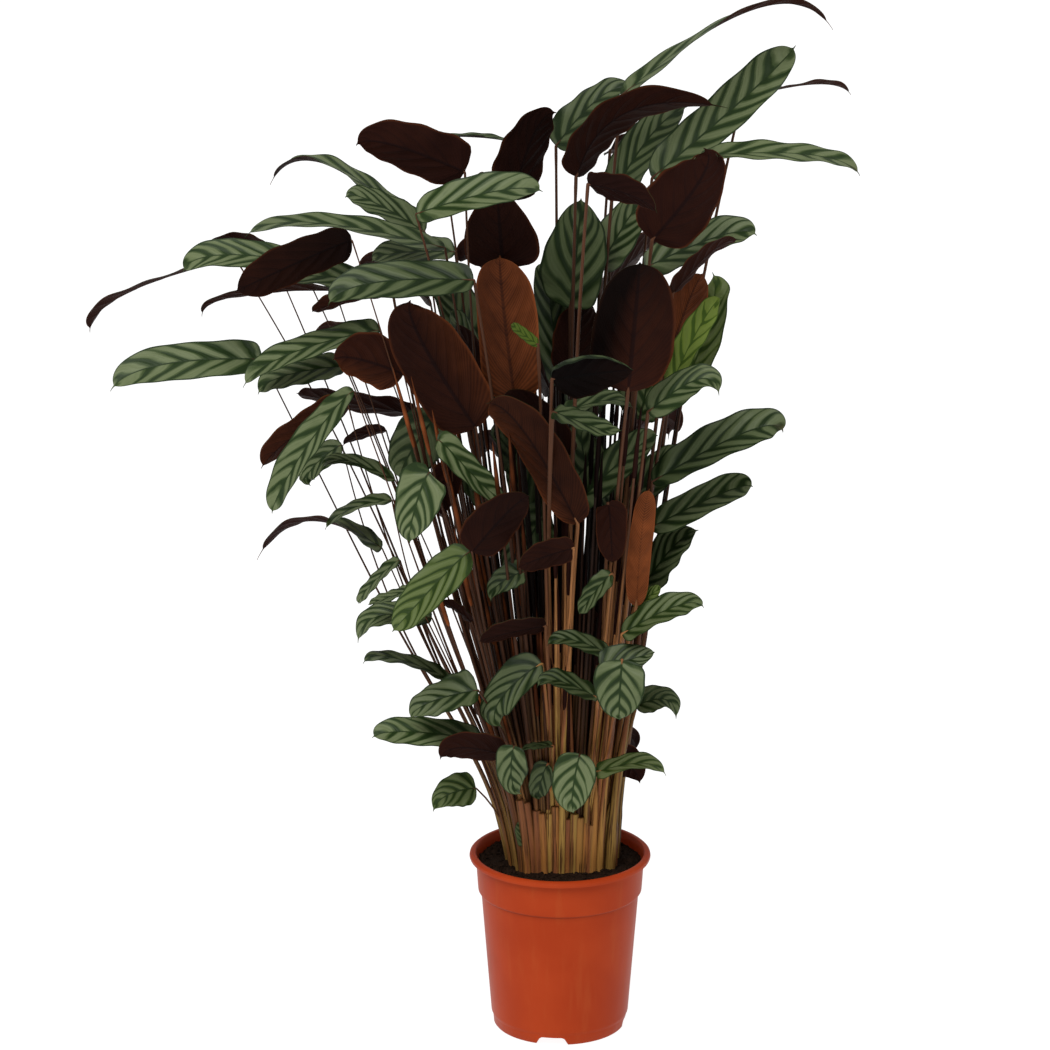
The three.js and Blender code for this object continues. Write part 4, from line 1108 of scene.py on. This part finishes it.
def leaf_under_finish(colours):
    """Burgundy to rusty underside with a darker midrib and herringbone veins."""
    f = Finish("leaf_under", 0.6, 0.04)
    across, along = f.pattern_place()
    rust = f.tone("rust")
    out = f.from_middle(across)
    cloud = f.noise(f.solid_place(), 38.0, 3.0)
    phase = f.times(along, f.tone("veins"))
    threads = f.math("SINE", f.times(phase, 2 * math.pi * 6))
    vein = f.step(f.from_middle(f.math("FRACT", phase)), 0.0, 0.3, 1.0, 0.0)
    vein = f.times(vein, f.step(out, 0.1, 1.0, 1.0, 0.2))
    rib = f.step(out, 0.03, 0.075, 1.0, 0.0)
    rim = f.step(out, 0.9, 0.99)
    # The rustier an underside is, the fainter its veins are.
    drawn = f.times_plus(rust, -0.75, 1.0)
    wine = f.mix(cloud, colours.wine, colours.wine_light)
    rusty = f.mix(f.times_plus(threads, 0.18, cloud), colours.rust_dark, colours.rust)
    colour = f.mix(rust, wine, rusty)
    colour = f.mix(f.times(f.times(vein, drawn), 0.4), colour, colours.vein)
    colour = f.mix(f.times(f.times(rib, drawn), 0.75), colour, colours.vein)
    colour = f.mix(f.times(rim, f.times_plus(rust, 0.5, 0.15)), colour, colours.rust)
    colour = f.mix(f.tone("lime"), colour, colours.lime_bar)
    # Painted shade on the inner undersides.
    f.colour(f.mix(f.math("POWER", f.tone("deep"), 1.7), colour, colours.under_painted_shade, "MULTIPLY"))
    f.bump(f.times_plus(threads, 0.3, f.times_plus(vein, 1.6, cloud)), 0.35, 0.0009)
    return f.material


def stalk_finish(colours):
    """Fibrous stalks: tan, yellow-green and pink low down, red-brown above, with painted light on the bright
    bundles between and painted shade in the clump.
    """
    f = Finish("stalk", 0.5, 0.12)
    turn, along = f.pattern_place()
    seed, tone, red = f.tone("seed"), f.tone("tone"), f.tone("rust")
    _, _, height = f.split(f.solid_place())
    fibre = f.noise(f.stretched((turn, 9.0), (along, 14.0), (seed, 50.0)), 1.0, 4.0, 0.6)
    streak = f.noise(f.stretched((turn, 2.2), (along, 5.0), (seed, 90.0)), 1.0, 2.0)
    low = f.mix(f.step(tone, 0.35, 0.75), colours.stalk_yellow, colours.stalk_tan)
    low = f.mix(f.step(f.times_plus(height, 0.5, streak), 0.57, 0.74), low, colours.stalk_pink)
    # Painted light: the pale front bundles are brighter half way up.
    bright = f.times(f.step(red, -0.7, -0.2, 1.0, 0.0), f.step(height, 0.38, 0.52))
    low = f.mix(f.times(bright, 0.85), low, colours.stalk_painted_light)
    low = f.mix(f.step(fibre, 0.48, 0.64), low, colours.stalk_brown)
    high = f.mix(fibre, colours.stalk_red, colours.stalk_dark)
    rise = f.times_plus(streak, 0.2, height)
    rise = f.times_plus(tone, 0.12, rise)
    rise = f.times_plus(red, 0.16, rise)
    colour = f.mix(f.step(rise, 0.42, 0.74), low, high)
    # Painted shade from the tone "deep".
    f.colour(f.mix(f.tone("deep"), colour, colours.stalk_painted_shade, "MULTIPLY"))
    f.bump(fibre, 0.5, 0.0008)
    return f.material


def pot_finish(colours):
    """Satin moulded plastic with faint flow marks, dust and a painted shadow line at the ledge."""
    f = Finish("pot_plastic", 0.46, 0.07)
    place = f.solid_place()
    x, y, z = f.split(place)
    flow = f.noise(f.stretched((x, 1.0), (y, 1.0), (z, 0.12)), 70.0, 4.0, 0.6)
    cloud = f.noise(place, 14.0, 3.0)
    grain = f.noise(place, 900.0, 2.0)
    base = f.mix(f.step(cloud, 0.3, 0.7), colours.pot, colours.pot_deep)
    base = f.mix(f.times(f.step(flow, 0.5, 0.75), 0.3), base, colours.pot_dust)
    # Painted shadow: a dark line along the ledge, darkest at its height.
    ledge = f.math("ABSOLUTE", f.math("SUBTRACT", z, POT_LEDGE * MM))
    f.colour(f.mix(f.step(ledge, 0.0004, 0.0022, 0.35, 0.0), base, colours.pot_ledge_shadow))
    f.roughness(f.times_plus(flow, 0.22, 0.3))
    f.bump(f.times_plus(grain, 0.4, flow), 0.12, 0.0004)
    return f.material


def soil_finish(colours):
    """Damp dark compost with paler crumbs."""
    f = Finish("compost", 0.92, 0.04)
    place = f.solid_place()
    coarse = f.noise(place, 190.0, 5.0, 0.7)
    fine = f.noise(place, 900.0, 3.0, 0.6)
    base = f.mix(f.step(coarse, 0.35, 0.7), colours.soil, colours.soil_light)
    f.colour(f.mix(f.step(fine, 0.62, 0.75), base, colours.soil_fibre))
    f.bump(f.math("ADD", coarse, fine), 0.9, 0.0015)
    return f.material


def floor_finish(colours):
    """A white floor, whose own glow keeps the shadows on it faint."""
    f = Finish("floor", 0.8, 0.1)
    f.put(f.shader.inputs["Emission Color"], WHITE)
    f.put(f.shader.inputs["Emission Strength"], FLOOR_GLOW)
    f.colour(f.mix(f.noise(f.solid_place(), 3.0, 3.0), colours.floor, colours.floor_shade))
    return f.material


# ---- Settings ----

def length(name, description, default):
    return FloatProperty(name=name, description=description, default=default, unit="LENGTH", precision=4)


def paint(name, description, default):
    return FloatVectorProperty(name=name, description=description, default=default, subtype="COLOR",
                               size=3, min=0.0, max=1.0)


class PotSizes(bpy.types.PropertyGroup):
    """Sizes of the container."""
    height: length("Height", "Height of the rim above the floor", 0.212)
    lip_radius: length("Lip radius", "Outer radius of the lip", 0.105)
    lip_inner: length("Mouth radius", "Inner radius of the mouth", 0.097)
    wall: length("Wall", "Thickness of the wall", 0.0024)
    sides: IntProperty(name="Sides", description="Sides of the turned shape", default=144, min=24)


class SoilSizes(bpy.types.PropertyGroup):
    """Sizes of the compost."""
    level: length("Level", "Height of the compost above the floor", 0.200)
    lump: length("Lump", "Height of the lumps near the rim", 0.0024)
    crumbs: IntProperty(name="Crumbs", description="Number of loose crumbs", default=1300, min=0)


class Colours(bpy.types.PropertyGroup):
    """Colours of every finish."""
    band: paint("Band", "Silver-green middle of the bands", (0.14, 0.17, 0.08))
    band_shade: paint("Band shade", "Greener edges of the bands", (0.042, 0.067, 0.019))
    # Darkens blades a little at random, and gives the inner blades painted shade.
    band_tone_and_painted_shade: paint("Deep tone", "Deepens the inner leaves", (0.33, 0.37, 0.3))
    # Painted shade of the inner undersides.
    under_painted_shade: paint("Deep underside", "Deepens the inner undersides", (0.1, 0.1, 0.1))
    bar: paint("Bar", "Dark bars of the upper side", (0.012, 0.025, 0.005))
    bar_light: paint("Bar light", "Lighter green in the bars", (0.02, 0.042, 0.009))
    lime_band: paint("Lime band", "Bands of young blades", (0.18, 0.25, 0.035))
    lime_bar: paint("Lime bar", "Bars of young blades", (0.06, 0.11, 0.01))
    dry: paint("Dry tip", "Dried tips", (0.11, 0.045, 0.03))
    wine: paint("Wine", "Underside", (0.0125, 0.003, 0.0022))
    wine_light: paint("Light wine", "Lighter parts of the underside", (0.0225, 0.006, 0.0036))
    # The blades' own rusty colour, and on a few blades also painted light shining through them.
    rust: paint("Rust", "Light rusty underside", (0.32, 0.085, 0.024))
    rust_dark: paint("Dark rust", "Dark rusty underside", (0.05, 0.015, 0.006))
    vein: paint("Underside vein", "Veins of the underside", (0.009, 0.003, 0.003))
    stalk_yellow: paint("Yellow stalk", "Low stalks", (0.37, 0.215, 0.052))
    stalk_tan: paint("Tan stalk", "Low stalks", (0.39, 0.16, 0.04))
    stalk_pink: paint("Pink stalk", "Pink streaks of low stalks", (0.26, 0.09, 0.034))
    # Painted light on the bright bundles half way up.
    stalk_painted_light: paint("Bright stalk", "Bright bundles half way up", (0.6, 0.26, 0.09))
    stalk_brown: paint("Brown stalk", "Brown fibres of low stalks", (0.08, 0.034, 0.011))
    # Painted shade of the stalks in the clump.
    stalk_painted_shade: paint("Deep stalk", "Deepens the stalks in the clump", (0.06, 0.058, 0.05))
    stalk_red: paint("Red stalk", "High stalks", (0.15, 0.056, 0.026))
    stalk_dark: paint("Dark stalk", "Dark fibres of high stalks", (0.03, 0.013, 0.006))
    pot: paint("Container", "Container", (0.37, 0.042, 0.008))
    pot_deep: paint("Container deep", "Deeper patches", (0.33, 0.034, 0.006))
    pot_dust: paint("Container dust", "Dusty flow marks", (0.38, 0.068, 0.016))
    # Painted shadow under the ledge.
    pot_ledge_shadow: paint("Container shadow", "Shadow under the ledge", (0.1, 0.012, 0.004))
    soil: paint("Compost", "Dark compost", (0.012, 0.0068, 0.0042))
    soil_light: paint("Light compost", "Lighter compost", (0.03, 0.016, 0.01))
    soil_fibre: paint("Fibre", "Pale fibres in the compost", (0.05, 0.03, 0.02))
    floor: paint("Floor", "Floor", (0.15, 0.15, 0.15))
    floor_shade: paint("Floor shade", "Slight shade of the floor", (0.14, 0.14, 0.14))


class StageSizes(bpy.types.PropertyGroup):
    """Floor, lights and camera."""
    floor_side: length("Floor side", "Side of the floor", 60.0)
    sky: FloatProperty(name="Sky", description="Strength of the light all round", default=0.5)
    key: FloatProperty(name="Key", description="Strength of the soft light above the front", default=2.2)


# ---- Container ----

def pot_profile(sizes):
    """The container's outline and inside, as radius and height in metres, from the axis underneath."""
    top, lip = sizes.height / MM, sizes.lip_radius / MM
    mouth, wall = sizes.lip_inner / MM, sizes.wall / MM
    rounded = [
        (lip - 2.5, 205), (lip - 0.7, 205.6), (lip, 207.5), (lip - 0.5, 209.8), (lip - 2.5, top - 0.5),
        (lip - 4, top), (mouth + 1.2, top - 0.2), (mouth, top - 1.4),
    ]
    inside = [
        (97.8 - wall, 202.6), (95 - wall, 168.4), (91.4 - wall, 162), (77.8 - wall, 17), (72.4, 12.6),
        (0, 12.6),
    ]
    return [(radius * MM, height * MM) for radius, height in POT_OUTSIDE + rounded + inside]


def spun(name, profile, sides):
    """A profile of radius and height turned all round, closed on the axis."""
    mesh = bpy.data.meshes.new(name)
    points = [(radius, 0, height) for radius, height in profile]
    mesh.from_pydata(points, [(i, i + 1) for i in range(len(points) - 1)], [])
    piece = placed(name, mesh)
    select_only(piece)
    bpy.ops.object.mode_set(mode="EDIT")
    bpy.ops.mesh.select_all(action="SELECT")
    bpy.ops.mesh.spin(steps=sides, angle=2 * math.pi, center=(0, 0, 0), axis=(0, 0, 1))
    bpy.ops.mesh.select_all(action="SELECT")
    bpy.ops.mesh.remove_doubles(threshold=1e-6)
    bpy.ops.mesh.normals_make_consistent(inside=False)
    bpy.ops.object.mode_set(mode="OBJECT")
    return piece


def prism(mesh, near, far):
    """Adds a closed prism between two outlines of points in mm."""
    near, far = [[mesh.verts.new(point * MM) for point in points] for points in (near, far)]
    mesh.faces.new(near)
    mesh.faces.new(list(reversed(far)))
    for j, following in enumerate(list(range(1, len(near))) + [0]):
        mesh.faces.new((near[j], far[j], far[following], near[following]))


def notch_cutters():
    """Four arched notches in the foot ring and four drain holes, as one cutting object."""
    foot, *bend = NOTCH_HALF
    arch = [(-foot[0], foot[1]), foot] + bend + [(-x, z) for x, z in reversed(bend)]
    mesh = bmesh.new()
    for k in range(NOTCHES):
        turn = math.radians(NOTCH_TURN) + 2 * math.pi * k / NOTCHES
        out = Vector((math.cos(turn), math.sin(turn), 0))
        side = Vector((-math.sin(turn), math.cos(turn), 0))
        points = [side * x + Vector((0, 0, z)) for x, z in arch]
        prism(mesh, *([out * reach + point for point in points] for reach in (NOTCH_NEAR, NOTCH_FAR)))
        drain = turn + math.pi / NOTCHES
        centre = Vector((math.cos(drain), math.sin(drain), 0)) * DRAIN["out"]
        hole = [centre + Vector((x, y, 0)) for x, y in circle(DRAIN["radius"], DRAIN["sides"])]
        prism(mesh, *([point + Vector((0, 0, DRAIN[end])) for point in hole] for end in ("high", "low")))
    bmesh.ops.recalc_face_normals(mesh, faces=mesh.faces)
    data = bpy.data.meshes.new("cutters")
    mesh.to_mesh(data)
    mesh.free()
    return placed("cutters", data)


class PLANT_OT_pot(bpy.types.Operator):
    """Turns the container, cuts its notches and drain holes and gives it its plastic"""
    bl_idname = "plant.pot"
    bl_label = "Container"

    def execute(self, context):
        sizes, colours = context.scene.plant_pot, context.scene.plant_colours
        piece = spun("container", pot_profile(sizes), sizes.sides)
        cutter = notch_cutters()
        cut = piece.modifiers.new("cut", "BOOLEAN")
        cut.object, cut.operation, cut.solver = cutter, "DIFFERENCE", "EXACT"
        select_only(piece)
        bpy.ops.object.modifier_apply(modifier=cut.name)
        bpy.data.objects.remove(cutter)
        if len(piece.data.polygons) < sizes.sides:
            raise RuntimeError("the container lost its shape when its notches were cut")
        piece.data.materials.clear()
        piece.data.materials.append(pot_finish(colours))
        smooth(piece, SMOOTH_POT)
        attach(piece, "root")
        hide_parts("pot")
        return {"FINISHED"}


# ---- Compost ----

def soil_height(x, y, sizes):
    """Height of the compost's top at a place, in metres."""
    radius = math.hypot(x, y)
    turn = math.atan2(y, x)
    many, few = SOIL_LUMPS["waves"]
    edge = clamp((radius / MM - SOIL_LUMPS["from"]) / SOIL_LUMPS["over"])
    lump = sizes.lump * math.sin(many * turn + 1) * math.sin(few * turn) * edge
    rough = noise.fractal(Vector((x, y, 0.0)) * SOIL_ROUGH["scale"], *SOIL_ROUGH["fractal"])
    rough *= SOIL_ROUGH["height"]
    clod = max(0.0, noise.noise(Vector((x, y, SOIL_CLODS["slice"])) * SOIL_CLODS["scale"]))
    clod *= SOIL_CLODS["height"]
    drop = max(0.0, radius / MM - SOIL_DROP["from"]) / SOIL_DROP["over"] * SOIL_DROP["height"]
    return sizes.level + lump + (rough + clod - drop) * MM


def soil_body(sizes):
    """Points and faces of the compost: a rough top, a side along the container's wall, a flat underside."""
    points = [(0.0, 0.0, soil_height(0, 0, sizes))]
    for i in range(1, SOIL_RINGS + 1):
        radius = SOIL_RIM * MM * (i / SOIL_RINGS) ** SOIL_CROWD
        points += [(x, y, soil_height(x, y, sizes)) for x, y in circle(radius, SOIL_AROUND, 0.5 * (i % 2))]
    for radius, height in SOIL_SIDE:
        points += [(x, y, height * MM) for x, y in circle(radius * MM, SOIL_AROUND)]
    points.append((0.0, 0.0, SOIL_SIDE[-1][1] * MM))
    rings = SOIL_RINGS + len(SOIL_SIDE)
    lowest = 1 + (rings - 1) * SOIL_AROUND
    pairs = [(j, (j + 1) % SOIL_AROUND) for j in range(SOIL_AROUND)]
    faces = [(0, 1 + j, 1 + k) for j, k in pairs]
    faces += walls(1, rings, SOIL_AROUND, flipped=True)
    faces += [(lowest + j, len(points) - 1, lowest + k) for j, k in pairs]
    return points, faces


def crumb_form():
    """Points and faces of an even crumb, 1 in radius."""
    start = bmesh.new()
    bmesh.ops.create_icosphere(start, subdivisions=1, radius=1.0)
    points = [vertex.co.copy() for vertex in start.verts]
    faces = [tuple(vertex.index for vertex in face.verts) for face in start.faces]
    start.free()
    return points, faces


def add_crumbs(points, faces, sizes):
    """Strews uneven crumbs of several sizes over the compost."""
    chance = random.Random(CRUMBS["seed"])
    form, form_faces = crumb_form()
    for _ in range(sizes.crumbs):
        angle = chance.uniform(0, 2 * math.pi)
        radius = SOIL_RIM * MM * math.sqrt(chance.random()) * CRUMBS["within"]
        x, y = radius * math.cos(angle), radius * math.sin(angle)
        size = chance.choice(CRUMBS["sizes"]) * MM * chance.uniform(*CRUMBS["spread"])
        stretch = [chance.uniform(*limits) for limits in CRUMBS["stretch"]]
        place = (x, y, soil_height(x, y, sizes) + size * CRUMBS["sunk"])
        start = len(points)
        for corner in form:
            jitter = size * (1 + chance.uniform(-CRUMBS["uneven"], CRUMBS["uneven"]))
            points.append(tuple(p + c * s * jitter for p, c, s in zip(place, corner, stretch)))
        faces += [tuple(start + k for k in face) for face in form_faces]


class PLANT_OT_soil(bpy.types.Operator):
    """Fills the container with crumbly compost"""
    bl_idname = "plant.soil"
    bl_label = "Compost"

    def execute(self, context):
        sizes, colours = context.scene.plant_soil, context.scene.plant_colours
        points, faces = soil_body(sizes)
        add_crumbs(points, faces, sizes)
        mesh = bpy.data.meshes.new("compost")
        mesh.from_pydata(points, [], faces)
        mesh.materials.append(soil_finish(colours))
        mesh.validate()
        mesh.update()
        piece = placed("compost", mesh)
        smooth(piece, SMOOTH_SOIL)
        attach(piece, "root")
        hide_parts("soil")
        return {"FINISHED"}


class PLANT_OT_shoots(bpy.types.Operator):
    """Grows every shoot with its stalks and patterned blades"""
    bl_idname = "plant.shoots"
    bl_label = "Shoots"

    def execute(self, context):
        colours = context.scene.plant_colours
        materials = [leaf_upper_finish(colours), leaf_under_finish(colours), stalk_finish(colours)]
        for number, shoot in enumerate(grow(), 1):
            low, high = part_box(f"shoot_{number:02d}")
            top = max(max(leaf.base[2], leaf.tip[2]) for leaf in shoot["leaves"]) * MM
            if not low.z < top < high.z + SHOOT_SPARE:
                raise RuntimeError(f"shoot {number} doesn't match its solid")
            shoot_piece(shoot, number, materials)
        return {"FINISHED"}


class PLANT_OT_stage(bpy.types.Operator):
    """Lays the floor and sets the lights and the camera"""
    bl_idname = "plant.stage"
    bl_label = "Floor, lights and camera"

    def execute(self, context):
        scene, sizes, colours = context.scene, context.scene.plant_stage, context.scene.plant_colours
        bpy.ops.object.select_all(action="DESELECT")
        bpy.ops.mesh.primitive_plane_add(size=sizes.floor_side, location=(0, 0, 0))
        floor = context.active_object
        floor.name = "floor"
        floor.data.materials.append(floor_finish(colours))
        world = bpy.data.worlds.new("studio")
        world.use_nodes = True
        background = world.node_tree.nodes["Background"]
        background.inputs["Color"].default_value = WHITE
        background.inputs["Strength"].default_value = sizes.sky
        scene.world = world
        light = bpy.data.lights.new("key", "SUN")
        light.energy, light.angle = sizes.key, KEY_SOFTNESS
        placed("key", light).rotation_euler = (KEY_TILT, 0, KEY_TURN)
        lens = bpy.data.cameras.new("camera")
        lens.sensor_width = SENSOR
        lens.lens = SENSOR * FOCAL / GRID
        lens.clip_end = VIEW_END
        camera = placed("camera", lens)
        camera.location = [float(value) * MM for value in EYE]
        camera.rotation_euler = (math.pi / 2 - TILT, 0, 0)
        scene.camera = camera
        scene.view_settings.view_transform = "Standard"
        return {"FINISHED"}


class PLANT_PT_panel(bpy.types.Panel):
    """Lists the plant's pieces and colours"""
    bl_idname = "PLANT_PT_panel"
    bl_label = "Potted plant"
    bl_space_type = "VIEW_3D"
    bl_region_type = "UI"
    bl_category = "Plant"

    def draw(self, context):
        for operator in OPERATORS:
            self.layout.operator(operator.bl_idname)
        for group in SETTINGS:
            settings = getattr(context.scene, group)
            for key in settings.__annotations__:
                self.layout.prop(settings, key)


SETTINGS = {
    "plant_pot": PotSizes, "plant_soil": SoilSizes, "plant_stage": StageSizes, "plant_colours": Colours,
}
OPERATORS = (PLANT_OT_pot, PLANT_OT_soil, PLANT_OT_shoots, PLANT_OT_stage)


def register():
    for cls in (*SETTINGS.values(), *OPERATORS, PLANT_PT_panel):
        bpy.utils.register_class(cls)
    for name, cls in SETTINGS.items():
        setattr(bpy.types.Scene, name, PointerProperty(type=cls))


def unregister():
    for name in SETTINGS:
        delattr(bpy.types.Scene, name)
    for cls in (PLANT_PT_panel, *reversed(OPERATORS), *reversed(SETTINGS.values())):
        bpy.utils.unregister_class(cls)


def main():
    register()
    bpy.ops.plant.stage()
    bpy.ops.plant.pot()
    bpy.ops.plant.soil()
    bpy.ops.plant.shoots()


if __name__ == "__main__":
    main()
